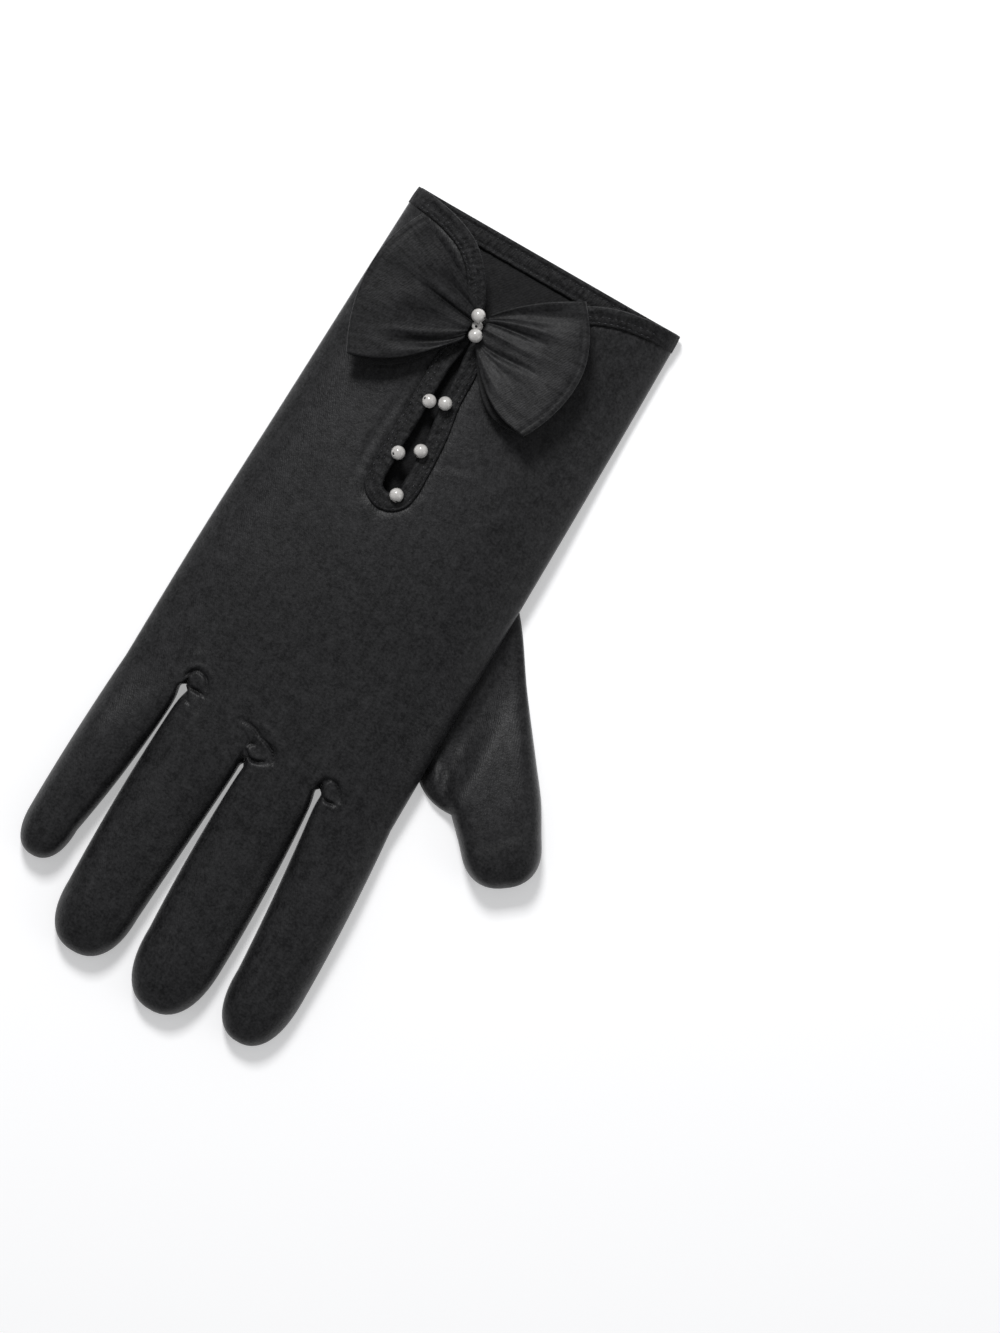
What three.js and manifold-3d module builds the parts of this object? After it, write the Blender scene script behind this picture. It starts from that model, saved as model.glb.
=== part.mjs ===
// Wrist length dress glove of black satin, for the right hand, lying flat with its back up.
// Millimetres. +Y runs to the cuff and the fingers point along -Y. +X is the thumb's side, +Z is up.
// The origin is on the flat underside of the palm, on the glove's middle line.
import * as THREE from 'three';
import { mergeVertices } from 'three/addons/utils/BufferGeometryUtils.js';
import Module from 'manifold-3d';

const wasm = await Module();
wasm.setup();

// Cloth and the gap between pieces that lie on each other
const WALL = 1;
const CLEARANCE = 0.3;

// A flattened tube's edge lies at this share of its height, and its underside is flat over this share of
// its width
const SEAM_SHARE = 0.38;
const FLAT_SHARE = 0.7;

// The hand: lengths from the origin, the half width at the knuckles and the height as it lies
const CUFF_LENGTH = 113;
const PALM_LENGTH = 50;
const KNUCKLE_HALF = 45.8;
const HAND_HEIGHT = 12.6;
const FINGER_HEIGHT = 10.4;
const FINGER_LENGTH = 79;
const SLIT_WIDTH = 0.7;
const CUFF_SLOPE = 0.02;

// The thumb: its length with the part under the hand, its width, its height beside the hand and where
// the hand presses it flat, the way over which it rises, and its gusset's round lobe
const THUMB_LENGTH = 92;
const THUMB_WIDTH = 25.4;
const THUMB_HEIGHT = 8;
const PRESSED_HEIGHT = 2.6;
const PRESSED_EDGE = 6;
const THUMB_RISE = 14;
const THUMB_ANGLE = 36.9;
const THUMB_ROOT = { x: 26.4, y: 26.6 };
const THUMB_HOLE = { along: 20, across: 14, from_root: 16 };
const GUSSET_RADIUS = 16.5;
const GUSSET_FROM_TIP = 37;
const GUSSET_ASIDE = 5.5;
const EASE = 17;

// The opening in the back: the V down from the cuff, and the keyhole below its point
const V_DEPTH = 25.5;
const KEYHOLE_X = -5.7;
const KEYHOLE_LENGTH = 57;
const KEYHOLE_WIDTH = 5.4;
const BINDING_WIDTH = 5.2;
const BINDING_THICKNESS = 1;

// The bow and the pearls
const BOW_X = -7.7;
const BOW_BELOW_POINT = 1.6;
const BOW_REACH = 34;
const BOW_HALF_WIDTH = 22;
const BOW_PINCH = 4;
const GATHER_HEIGHT = 1.1;
const GATHER_HALF = 1.6;
const BOW_HEIGHT = 6.2;
const BOW_LIFT = 2.6;
const PEARL_DIAMETER = 4.1;
const MIDDLE_PEARL_DIAMETER = 3.2;

// Outline of the hand, from the knuckles to the cuff. along is a share of the length between them,
// left and right are shares of KNUCKLE_HALF, height is a share of HAND_HEIGHT.
const HAND_ROWS = [
  { along: 0.00, left: 1.000, right: 0.985, height: 0.92 },
  { along: 0.25, left: 0.998, right: 0.974, height: 1.00 },
  { along: 0.55, left: 0.976, right: 0.966, height: 1.00 },
  { along: 0.80, left: 0.958, right: 0.955, height: 0.99 },
  { along: 1.00, left: 0.942, right: 0.941, height: 0.97 },
];

// Rows of faces up the hand, as shares of its length, closest at the gathered crotches
const HAND_STEPS = [0, 0.014, 0.033, 0.06, 0.1, 0.16, 0.23, 0.31, 0.39, 0.47, 0.55, 0.63, 0.71, 0.79, 0.87,
  0.94, 1];

// The fingers from the little one to the index. Edges are shares of KNUCKLE_HALF at the root, at the
// middle and where the round tip starts, reach and cap are shares of FINGER_LENGTH.
const FINGERS = [
  { root: [-1.006, -0.582], middle: [-1.023, -0.613], shoulder: [-1.026, -0.688], reach: 0.740, cap: 0.160 },
  { root: [-0.582, -0.022], middle: [-0.602, -0.051], shoulder: [-0.587, -0.079], reach: 0.962, cap: 0.215 },
  { root: [-0.022, 0.470], middle: [-0.026, 0.522], shoulder: [-0.002, 0.537], reach: 1.000, cap: 0.256 },
  { root: [0.470, 0.985], middle: [0.550, 1.040], shoulder: [0.607, 1.066], reach: 0.936, cap: 0.229 },
];

// Root line of the fingers: how far the two sides and the three crotches lie from the origin,
// as shares of PALM_LENGTH
const ROOT_LINE = [0.92, 0.88, 1.10, 1.00, 1.00];

// Gathers at the crotches: ridges in the back of the hand that start beside a crotch.
// aside and up are shares of PALM_LENGTH, height is in wall thicknesses.
const GATHERS = [
  { crotch: 1, aside: 0.06, up: 0.06, turn: 20, length: 0.16, height: 1.0 },
  { crotch: 1, aside: -0.08, up: 0.05, turn: -35, length: 0.14, height: 0.7 },
  { crotch: 2, aside: 0.09, up: 0.07, turn: 35, length: 0.16, height: 1.1 },
  { crotch: 2, aside: -0.08, up: 0.05, turn: -30, length: 0.14, height: 0.7 },
  { crotch: 3, aside: 0.08, up: 0.06, turn: 40, length: 0.16, height: 1.0 },
  { crotch: 3, aside: -0.07, up: 0.05, turn: -25, length: 0.14, height: 0.7 },
];
const GATHER_WIDTH = 2.4;

// The thumb from its root to its tip. along is a share of THUMB_LENGTH, outer and inner are shares of
// THUMB_WIDTH from its middle line.
const THUMB_ROWS = [
  { along: 0.00, outer: 0.38, inner: 0.38 },
  { along: 0.14, outer: 0.47, inner: 0.46 },
  { along: 0.40, outer: 0.47, inner: 0.52 },
  { along: 0.62, outer: 0.49, inner: 0.58 },
  { along: 0.74, outer: 0.50, inner: 0.53 },
  { along: 0.87, outer: 0.46, inner: 0.46 },
  { along: 1.00, outer: 0.44, inner: 0.44 },
];
const THUMB_CAP = 0.128;
const THUMB_ROOT_CAP = 0.1;

// Edge of the V from the cuff's corners down to its point: down is a share of V_DEPTH, left and right
// are shares of the way from the keyhole's line to the hand's two sides
const V_EDGE = [
  { down: 0.00, left: 1.04, right: 1.04 },
  { down: 0.03, left: 0.84, right: 0.80 },
  { down: 0.10, left: 0.62, right: 0.62 },
  { down: 0.23, left: 0.41, right: 0.46 },
  { down: 0.42, left: 0.26, right: 0.33 },
  { down: 0.65, left: 0.145, right: 0.20 },
  { down: 0.88, left: 0.07, right: 0.07 },
];

// Edge of the keyhole below that point: down is a share of KEYHOLE_LENGTH, middle and half are shares
// of KEYHOLE_WIDTH
const KEYHOLE_EDGE = [
  { down: 0.06, middle: -0.24, half: 0.08 },
  { down: 0.18, middle: -0.26, half: 0.09 },
  { down: 0.26, middle: -0.27, half: 0.22 },
  { down: 0.42, middle: -0.24, half: 0.26 },
  { down: 0.60, middle: -0.07, half: 0.41 },
  { down: 0.78, middle: 0.00, half: 0.49 },
  { down: 0.92, middle: 0.04, half: 0.47 },
];

// The bow's two loops: how far the fold, its upper and its lower corner lie out from the middle as
// shares of BOW_REACH, and how far the corners lie up and down as shares of BOW_HALF_WIDTH
const BOW_LOOPS = [
  { side: -1, fold: 1.03, top_out: 0.88, top_up: 0.85, low_out: 0.82, low_down: 1.17, lift: 0.5,
    swell: 0.14 },
  { side: 1, fold: 0.97, top_out: 0.67, top_up: 0.99, low_out: 0.81, low_down: 0.92, lift: 1.0,
    swell: 0.15 },
];

// Creases in the loops' fronts, that run out from the gather: place across the loop from -1 to 1
const BOW_CREASES = [-0.42, 0.22];
const CREASE_DEPTH = 1.1;
const CREASE_WIDTH = 0.2;

// The pearls on the keyhole's edges: which edge, how far down as a share of KEYHOLE_LENGTH, and how far
// onto the binding as a share of BINDING_WIDTH
const KEYHOLE_PEARLS = [
  { edge: -1, down: 0.470, onto: 0.02 },
  { edge: 1, down: 0.440, onto: 0.22 },
  { edge: 1, down: 0.705, onto: 0.04 },
  { edge: -1, down: 0.770, onto: 0.02 },
  { edge: 1, down: 0.955, onto: 0.06 },
];

// The pearls over the bow's gather: places as shares of PEARL_DIAMETER from the bow's middle
const KNOT_PEARLS = [
  { aside: -0.29, up: 0.63 },
  { aside: 0, up: 0 },
  { aside: 0.24, up: -0.66 },
];

const satin = { color: 0x232325, roughness: 0.5, metalness: 0 };
const bias = { color: 0x1e1e20, roughness: 0.6, metalness: 0 };
const pearl = { color: 0xf1efe9, roughness: 0.25, metalness: 0 };

const glove = new THREE.Group();

function addPiece(name, geometry, finish) {
  const mesh = new THREE.Mesh(geometry, new THREE.MeshStandardMaterial(finish));
  mesh.name = name;
  glove.add(mesh);
}

function mix(a, b, t) {
  return a + (b - a) * t;
}

function smooth(t) {
  const s = Math.min(1, Math.max(0, t));
  return s * s * (3 - 2 * s);
}

// Value of a table's column at a place between two of its rows
function read(table, key, place, column) {
  let i = 0;
  while (i < table.length - 2 && table[i + 1][key] < place) {
    i += 1;
  }
  const t = (place - table[i][key]) / (table[i + 1][key] - table[i][key]);
  return mix(table[i][column], table[i + 1][column], Math.min(1, Math.max(0, t)));
}

// Curve through three values at 0, a half and 1
function throughThree(values, t) {
  const [a, b, c] = values;
  return a * (1 - t) * (1 - 2 * t) + b * 4 * t * (1 - t) + c * t * (2 * t - 1);
}

// Share of the full width left at a place t, from 0 to 1, in a round end
function roundEnd(t) {
  return Math.pow(Math.max(0, 1 - Math.pow(t, 2.4)), 1 / 2.4);
}

// Faces of a sheet of points, rows down and columns to the right, seen from its outside
function addSheet(corners, rows, flip) {
  for (let i = 0; i < rows.length - 1; i += 1) {
    for (let j = 0; j < rows[i].length - 1; j += 1) {
      const quad = [rows[i][j], rows[i + 1][j], rows[i + 1][j + 1], rows[i][j + 1]];
      const turned = flip ? [quad[3], quad[2], quad[1], quad[0]] : quad;
      addTriangle(corners, turned[0], turned[1], turned[2]);
      addTriangle(corners, turned[0], turned[2], turned[3]);
    }
  }
}

function addTriangle(corners, a, b, c) {
  const same = (p, q) => Math.hypot(p[0] - q[0], p[1] - q[1], p[2] - q[2]) < 1e-6;
  if (!same(a, b) && !same(b, c) && !same(c, a)) {
    corners.push(...a, ...b, ...c);
  }
}

function toSolid(geometry) {
  const bare = geometry.index ? geometry.toNonIndexed() : geometry.clone();
  bare.deleteAttribute('normal');
  bare.deleteAttribute('uv');
  const merged = mergeVertices(bare, 1e-5);
  return new wasm.Manifold(new wasm.Mesh({
    numProp: 3,
    vertProperties: new Float32Array(merged.attributes.position.array),
    triVerts: new Uint32Array(merged.index.array),
  }));
}

function cornersToSolid(corners) {
  const geometry = new THREE.BufferGeometry();
  geometry.setAttribute('position', new THREE.Float32BufferAttribute(corners, 3));
  return toSolid(geometry);
}

function toGeometry(solid) {
  const mesh = solid.getMesh();
  const geometry = new THREE.BufferGeometry();
  geometry.setAttribute('position', new THREE.BufferAttribute(mesh.vertProperties, 3));
  geometry.setIndex(new THREE.BufferAttribute(mesh.triVerts, 1));
  geometry.computeVertexNormals();
  return geometry;
}

function prism(points, low, high) {
  const shape = new THREE.Shape(points.map(([x, y]) => new THREE.Vector2(x, y)));
  const geometry = new THREE.ExtrudeGeometry(shape, { depth: high - low, bevelEnabled: false });
  geometry.translate(0, 0, low);
  return toSolid(geometry);
}

// The thumb's middle line: out is along it from the root, aside is towards the fingers
const angle = THREE.MathUtils.degToRad(THUMB_ANGLE);
const thumbOut = [Math.sin(angle), -Math.cos(angle)];
const thumbAside = [-Math.cos(angle), -Math.sin(angle)];

function onThumb(out, aside) {
  return [
    THUMB_ROOT.x + thumbOut[0] * out + thumbAside[0] * aside,
    THUMB_ROOT.y + thumbOut[1] * out + thumbAside[1] * aside,
  ];
}

// The palm and the back ease up over the pressed thumb, and down to the ground beside it
function easeOverThumb(x, y) {
  const dx = x - THUMB_ROOT.x;
  const dy = y - THUMB_ROOT.y;
  const out = dx * thumbOut[0] + dy * thumbOut[1];
  const aside = dx * thumbAside[0] + dy * thumbAside[1];
  const past = Math.max(0, THUMB_WIDTH / 2 - out, out - THUMB_LENGTH);
  const fromThumb = Math.hypot(past, aside) - THUMB_WIDTH * 0.55;
  const [lobeX, lobeY] = onThumb(THUMB_LENGTH - GUSSET_FROM_TIP, GUSSET_ASIDE);
  const fromLobe = Math.hypot(x - lobeX, y - lobeY) - GUSSET_RADIUS;
  const away = Math.max(0, Math.min(fromThumb, fromLobe));
  return (PRESSED_HEIGHT + CLEARANCE) * smooth(1 - away / EASE);
}

// Height of the upper or lower cloth across a flattened tube: u runs from -1 to 1 between its edges
function tubeHeight(u, height, top) {
  const seam = height * SEAM_SHARE;
  const across = Math.min(1, Math.abs(u));
  if (top) {
    return seam + (height - seam) * Math.pow(1 - Math.pow(across, 3), 0.5);
  }
  const rise = Math.max(0, (across - FLAT_SHARE) / (1 - FLAT_SHARE));
  return seam * rise * rise;
}

function cuffLine(x) {
  return CUFF_LENGTH + CUFF_SLOPE * x;
}

function handAt(y) {
  const along = Math.max(0, (y + PALM_LENGTH) / (CUFF_LENGTH + PALM_LENGTH));
  return {
    left: -KNUCKLE_HALF * read(HAND_ROWS, 'along', along, 'left'),
    right: KNUCKLE_HALF * read(HAND_ROWS, 'along', along, 'right'),
    height: HAND_HEIGHT * read(HAND_ROWS, 'along', along, 'height'),
  };
}

// The crotches lie at the left edges of all the fingers but the little one
const crotches = FINGERS.slice(1).map((row, i) => ({
  x: KNUCKLE_HALF * row.root[0],
  y: -PALM_LENGTH * ROOT_LINE[i + 1],
}));

function gather(x, y) {
  let height = 0;
  for (const row of GATHERS) {
    const crotch = crotches[row.crotch - 1];
    const turn = THREE.MathUtils.degToRad(row.turn);
    const dx = x - crotch.x - row.aside * PALM_LENGTH;
    const dy = y - crotch.y - row.up * PALM_LENGTH;
    const along = dx * Math.sin(turn) + dy * Math.cos(turn);
    const across = dx * Math.cos(turn) - dy * Math.sin(turn);
    const reach = row.length * PALM_LENGTH;
    height += row.height * WALL * Math.exp(-((across / GATHER_WIDTH) ** 2) - (along / reach) ** 2);
  }
  return height;
}

// Surface of the hand and fingers, moved inwards by an inset, and past the cuff by an extension
const COLUMNS = 6;

function handSolid(inset, extension) {
  const corners = [];
  const spread = Array.from({ length: COLUMNS + 1 }, (_, j) => -Math.cos((Math.PI * j) / COLUMNS));
  const rootY = (c) => {
    const finger = Math.min(3, Math.floor(c / COLUMNS));
    const t = (c - finger * COLUMNS) / COLUMNS;
    return -PALM_LENGTH * mix(ROOT_LINE[finger], ROOT_LINE[finger + 1], t) + inset * 1.5;
  };
  const edgesAt = (finger, t) => {
    const row = FINGERS[finger];
    const at = (side) => KNUCKLE_HALF * throughThree(
      [row.root[side], row.middle[side], row.shoulder[side]], t);
    const slit = (side) => (finger + side === 0 || finger + side === 4 ? 0 : SLIT_WIDTH / 2);
    const opened = smooth(t * 8);
    return [at(0) + slit(0) * opened + inset, at(1) - slit(1) * opened - inset];
  };
  const place = (x, y, z) => [x, y, z + easeOverThumb(x, y)];
  const heightIn = (height, u, top) => {
    const inner = height - 2 * inset;
    return inset + tubeHeight(u, inner, top);
  };

  const total = 4 * COLUMNS;
  const sheetOf = (top) => HAND_STEPS.map((step) => {
    const row = [];
    for (let c = 0; c <= total; c += 1) {
      const finger = Math.min(3, Math.floor(c / COLUMNS));
      const u = spread[c - finger * COLUMNS];
      const end = step === 1 ? extension : 0;
      const estimate = mix(rootY(c), cuffLine(0), step);
      const hand = handAt(estimate);
      const left = hand.left + inset;
      const right = hand.right - inset;
      const even = (2 * c) / total - 1;
      const across = 0.45 * even + 0.55 * Math.sin((Math.PI / 2) * even);
      const row0 = FINGERS[finger];
      const rootLeft = finger === 0 ? left : KNUCKLE_HALF * row0.root[0];
      const rootRight = finger === 3 ? right : KNUCKLE_HALF * row0.root[1];
      const atRoot = mix(rootLeft, rootRight, (u + 1) / 2);
      const atHand = mix(left, right, (across + 1) / 2);
      const x = mix(atRoot, atHand, smooth(step * 1.6));
      const y = mix(rootY(c), cuffLine(x) + end, step);
      const whole = (2 * (x - left)) / (right - left) - 1;
      const blend = 1 - smooth(step * 9);
      const handZ = heightIn(hand.height, whole, top);
      const fingerU = Math.abs(whole) > 0.999999 ? 1 : u;
      const fingerZ = heightIn(FINGER_HEIGHT, fingerU, top);
      const raised = top ? gather(x, y) * (1 - Math.abs(whole) ** 4) * (1 - blend * Math.abs(u) ** 6) : 0;
      row.push(place(x, y, mix(handZ, fingerZ, blend) + raised));
    }
    return row;
  }).reverse();

  const fingerSheet = (finger, top, rootRow) => {
    const row = FINGERS[finger];
    const tip = -PALM_LENGTH * 1.004 - FINGER_LENGTH * row.reach + inset;
    const cap = FINGER_LENGTH * row.cap;
    const shoulder = tip + cap;
    const rows = [rootRow];
    const straight = [0.04, 0.16, 0.36, 0.58, 0.8, 1];
    for (const t of straight) {
      rows.push(spread.map((u, j) => {
        const start = rootY(finger * COLUMNS + j);
        const [left, right] = edgesAt(finger, t);
        const x = mix(left, right, (u + 1) / 2);
        const y = mix(start, shoulder, t);
        const raised = top ? gather(x, y) * (1 - u ** 6) : 0;
        return place(x, y, heightIn(FINGER_HEIGHT, u, top) + raised);
      }));
    }
    const [left, right] = edgesAt(finger, 1);
    const middle = (left + right) / 2;
    const steps = 5;
    for (let k = 1; k <= steps; k += 1) {
      const t = Math.sin((Math.PI / 2) * (k / steps));
      const share = k === steps ? 0 : roundEnd(t);
      const y = shoulder - cap * t;
      rows.push(spread.map((u) => {
        const x = middle + ((right - left) / 2) * share * u;
        const full = heightIn(FINGER_HEIGHT, u, top);
        const seam = heightIn(FINGER_HEIGHT, 1, top);
        const z = k === steps ? seam : mix(seam, full, Math.pow(share, 0.8));
        return place(x, y, z);
      }));
    }
    return rows;
  };

  for (const top of [true, false]) {
    const hand = sheetOf(top);
    addSheet(corners, hand, !top);
    const root = hand[hand.length - 1];
    for (let finger = 0; finger < 4; finger += 1) {
      const own = root.slice(finger * COLUMNS, (finger + 1) * COLUMNS + 1);
      addSheet(corners, fingerSheet(finger, top, own), !top);
    }
  }
  const upper = sheetOf(true)[0];
  const lower = sheetOf(false)[0];
  addSheet(corners, [lower, upper], false);
  return cornersToSolid(corners);
}

// Height of the back's outer face in the wrist, where the bow, binding and pearls lie on it
function backHeight(x, y) {
  const hand = handAt(y);
  const whole = (2 * (x - hand.left)) / (hand.right - hand.left) - 1;
  return tubeHeight(whole, hand.height, true) + easeOverThumb(x, y);
}

// Edge of the opening in the back, from the cuff's left corner round the keyhole to the right corner
const pointY = CUFF_LENGTH - V_DEPTH;

function keyholeEdge(side, down) {
  const middle = read(KEYHOLE_EDGE, 'down', down, 'middle');
  const half = read(KEYHOLE_EDGE, 'down', down, 'half');
  return [KEYHOLE_X + KEYHOLE_WIDTH * (middle + side * half), pointY - KEYHOLE_LENGTH * down];
}

function openingEdge() {
  const corner = handAt(CUFF_LENGTH);
  const down = (side, key, reach) => V_EDGE.map((row) => {
    const x = KEYHOLE_X + side * row[key] * reach;
    return [x, cuffLine(x) - V_DEPTH * row.down];
  });
  const left = down(-1, 'left', KEYHOLE_X - corner.left);
  const right = down(1, 'right', corner.right - KEYHOLE_X).reverse();
  const leftKey = KEYHOLE_EDGE.map((row) => keyholeEdge(-1, row.down));
  const rightKey = KEYHOLE_EDGE.map((row) => keyholeEdge(1, row.down)).reverse();
  const last = KEYHOLE_EDGE[KEYHOLE_EDGE.length - 1];
  const bottom = [0.25, 0.5, 0.75].map((share) => {
    const turn = Math.PI * (1 + share);
    const half = KEYHOLE_WIDTH * last.half;
    return [
      KEYHOLE_X + KEYHOLE_WIDTH * last.middle + half * Math.cos(turn),
      pointY - KEYHOLE_LENGTH * last.down + half * Math.sin(turn),
    ];
  });
  const all = [...left, ...leftKey, ...bottom, ...rightKey, ...right];
  const curve = new THREE.CatmullRomCurve3(all.map(([x, y]) => new THREE.Vector3(x, y, 0)), false,
    'centripetal');
  return curve;
}

const edgeCurve = openingEdge();
const EDGE_STEPS = 64;
const edge = [];
const bound = [];
for (let i = 0; i <= EDGE_STEPS; i += 1) {
  const point = edgeCurve.getPointAt(i / EDGE_STEPS);
  const along = edgeCurve.getTangentAt(i / EDGE_STEPS);
  edge.push([point.x, point.y]);
  bound.push([point.x + along.y * BINDING_WIDTH, point.y - along.x * BINDING_WIDTH]);
}

const high = HAND_HEIGHT + PRESSED_HEIGHT + 6 * WALL;
const seamHeight = HAND_HEIGHT * 0.45;
const beyond = CUFF_LENGTH * 1.2;

function thumbOval() {
  const points = [];
  const sides = 20;
  for (let i = 0; i < sides; i += 1) {
    const turn = (2 * Math.PI * i) / sides;
    const out = THUMB_HOLE.from_root + (THUMB_HOLE.along / 2) * Math.cos(turn);
    points.push(onThumb(out, (THUMB_HOLE.across / 2) * Math.sin(turn)));
  }
  return points;
}

function makeHand() {
  const cut = prism([...edge, [KNUCKLE_HALF * 1.1, beyond], [-KNUCKLE_HALF * 1.1, beyond]], seamHeight, high);
  const hole = prism(thumbOval(), PRESSED_HEIGHT / 2, PRESSED_HEIGHT + CLEARANCE + 3 * WALL);
  return handSolid(0, 0).subtract(handSolid(WALL, 10)).subtract(cut).subtract(hole);
}

// Bias strip laid over the back along the opening's edge
function makeOpeningBinding() {
  const strip = prism([...edge, ...bound.reverse()], seamHeight + CLEARANCE, high);
  const over = handSolid(-CLEARANCE - BINDING_THICKNESS, 0);
  return over.subtract(handSolid(-CLEARANCE, 10)).intersect(strip);
}

// Bias strip along the inside of the palm's edge
function makePalmBinding() {
  const side = KNUCKLE_HALF * 1.1;
  const strip = prism([
    [-side, cuffLine(-side) - BINDING_WIDTH],
    [side, cuffLine(side) - BINDING_WIDTH],
    [side, cuffLine(side) - CLEARANCE],
    [-side, cuffLine(-side) - CLEARANCE],
  ], -1, seamHeight - CLEARANCE - WALL);
  const inside = handSolid(WALL + CLEARANCE, 10);
  return inside.subtract(handSolid(WALL + CLEARANCE + BINDING_THICKNESS, 12)).intersect(strip);
}

// The thumb is pressed flat under the hand, and rises to its own height outside the hand's edge
function thumbHeight(x, y) {
  const outside = x - handAt(y).right + PRESSED_EDGE;
  return mix(PRESSED_HEIGHT, THUMB_HEIGHT, smooth(outside / THUMB_RISE));
}

// The thumb: a flattened tube with two round ends, and the gusset's lobe beside it
function thumbTube(inset) {
  const corners = [];
  const columns = 8;
  const steps = [];
  const ends = 4;
  for (let k = 0; k <= ends; k += 1) {
    steps.push({ along: THUMB_ROOT_CAP * (1 - Math.cos((Math.PI / 2) * (k / ends))), end: 1 - k / ends });
  }
  for (const along of [0.2, 0.3, 0.4, 0.5, 0.58, 0.66, 0.74, 0.81]) {
    steps.push({ along, end: 0 });
  }
  for (let k = 0; k <= ends + 1; k += 1) {
    const share = k / (ends + 1);
    steps.push({ along: 1 - THUMB_CAP * (1 - Math.sin((Math.PI / 2) * share)), end: share });
  }
  for (const top of [true, false]) {
    const rows = steps.map(({ along, end }) => {
      const share = end === 1 ? 0 : roundEnd(Math.sin((Math.PI / 2) * end));
      const outer = (THUMB_WIDTH * read(THUMB_ROWS, 'along', along, 'outer') - inset) * share;
      const inner = (THUMB_WIDTH * read(THUMB_ROWS, 'along', along, 'inner') - inset) * share;
      const length = THUMB_LENGTH - 2 * inset;
      const row = [];
      for (let j = 0; j <= columns; j += 1) {
        const u = -Math.cos((Math.PI * j) / columns);
        const aside = u < 0 ? -inner * u : -outer * u;
        const [x, y] = onThumb(inset + along * length, aside);
        const height = thumbHeight(x, y) - 2 * inset;
        const seam = inset + tubeHeight(1, height, top);
        const full = inset + tubeHeight(u, height, top);
        row.push([x, y, end === 1 ? seam : mix(seam, full, Math.pow(share, 0.8))]);
      }
      return row;
    });
    addSheet(corners, rows, !top);
  }
  return cornersToSolid(corners);
}

function gussetLobe(inset) {
  const height = PRESSED_HEIGHT - 2 * inset;
  const radius = GUSSET_RADIUS - inset;
  const round = height / 2;
  const profile = [new THREE.Vector2(0, inset)];
  for (let i = 0; i <= 4; i += 1) {
    const turn = -Math.PI / 2 + (Math.PI * i) / 4;
    const out = radius - round + round * Math.cos(turn);
    profile.push(new THREE.Vector2(out, inset + round + round * Math.sin(turn)));
  }
  profile.push(new THREE.Vector2(0, inset + height));
  const geometry = new THREE.LatheGeometry(profile, 20);
  geometry.rotateX(Math.PI / 2);
  const [x, y] = onThumb(THUMB_LENGTH - GUSSET_FROM_TIP, GUSSET_ASIDE);
  geometry.translate(x, y, 0);
  return toSolid(geometry);
}

function makeThumb() {
  const hole = prism(thumbOval(), PRESSED_HEIGHT / 2, THUMB_HEIGHT + WALL);
  const outer = thumbTube(0).add(gussetLobe(0));
  return outer.subtract(thumbTube(WALL)).subtract(gussetLobe(WALL)).subtract(hole);
}

// One loop of the bow: a band that runs out from the gather, folds and comes back under itself.
// round goes once about the loop, across goes from its lower to its upper edge.
const bowY = pointY - BOW_BELOW_POINT;
const bowBase = backHeight(BOW_X, bowY) + 2 * CLEARANCE + BINDING_THICKNESS;

function bowLoop(row) {
  const ring = 18;
  const bands = 8;
  const surface = (inset) => {
    const rows = [];
    for (let i = 0; i <= bands; i += 1) {
      const across = -1 + (2 * i) / bands;
      const corner = across > 0 ? row.top_out : row.low_out;
      const up = across > 0 ? row.top_up : row.low_down;
      const out = BOW_REACH * mix(row.fold, corner, across * across);
      const rise = BOW_HALF_WIDTH * up * across;
      const line = [];
      for (let j = 0; j <= ring; j += 1) {
        const turn = (2 * Math.PI * j) / ring;
        const a = 0.5 - 0.5 * Math.cos(turn);
        const reach = mix(GATHER_HALF + inset, out - inset, a);
        const spreadUp = mix(BOW_PINCH * across, rise, Math.pow(a, 0.85));
        const swell = BOW_HALF_WIDTH * row.swell * Math.sin(Math.PI * a) * across * Math.abs(across);
        const half = mix(0.22, 0.5, smooth(a * 1.5)) * BOW_HEIGHT - inset;
        const lift = BOW_LIFT * row.lift * a * a * (1 - 0.5 * across);
        const wave = Math.sin(turn);
        const bulge = Math.sign(wave) * Math.pow(Math.abs(wave), 0.7) * half;
        let crease = 0;
        for (const place of BOW_CREASES) {
          crease += Math.exp(-(((across - place) / CREASE_WIDTH) ** 2));
        }
        const pressed = wave > 0 ? CREASE_DEPTH * crease * Math.pow(1 - a, 0.6) * Math.abs(wave) : 0;
        const z = bowBase + half + inset + lift + bulge - pressed;
        line.push([BOW_X + row.side * reach, bowY + spreadUp + swell, z]);
      }
      rows.push(line);
    }
    return rows;
  };
  const outer = surface(0);
  const inner = surface(WALL);
  const corners = [];
  addSheet(corners, outer, row.side > 0);
  addSheet(corners, inner, row.side < 0);
  addSheet(corners, [outer[0], inner[0]], row.side < 0);
  addSheet(corners, [outer[bands], inner[bands]], row.side > 0);
  return cornersToSolid(corners);
}

function makeBow() {
  const middle = new THREE.SphereGeometry(1, 14, 10);
  middle.scale(2 * GATHER_HALF, BOW_PINCH * 0.9, GATHER_HEIGHT / 2);
  middle.translate(BOW_X, bowY, bowBase + GATHER_HEIGHT / 2);
  return bowLoop(BOW_LOOPS[0]).add(bowLoop(BOW_LOOPS[1])).add(toSolid(middle));
}

function makePearl(diameter, x, y, z) {
  const geometry = new THREE.SphereGeometry(diameter / 2, 12, 8);
  geometry.rotateX(Math.PI / 2);
  geometry.translate(x, y, z);
  return geometry;
}

addPiece('hand', toGeometry(makeHand()), satin);
addPiece('thumb', toGeometry(makeThumb()), satin);
addPiece('opening_binding', toGeometry(makeOpeningBinding()), bias);
addPiece('palm_binding', toGeometry(makePalmBinding()), bias);
addPiece('bow', toGeometry(makeBow()), satin);

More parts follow.
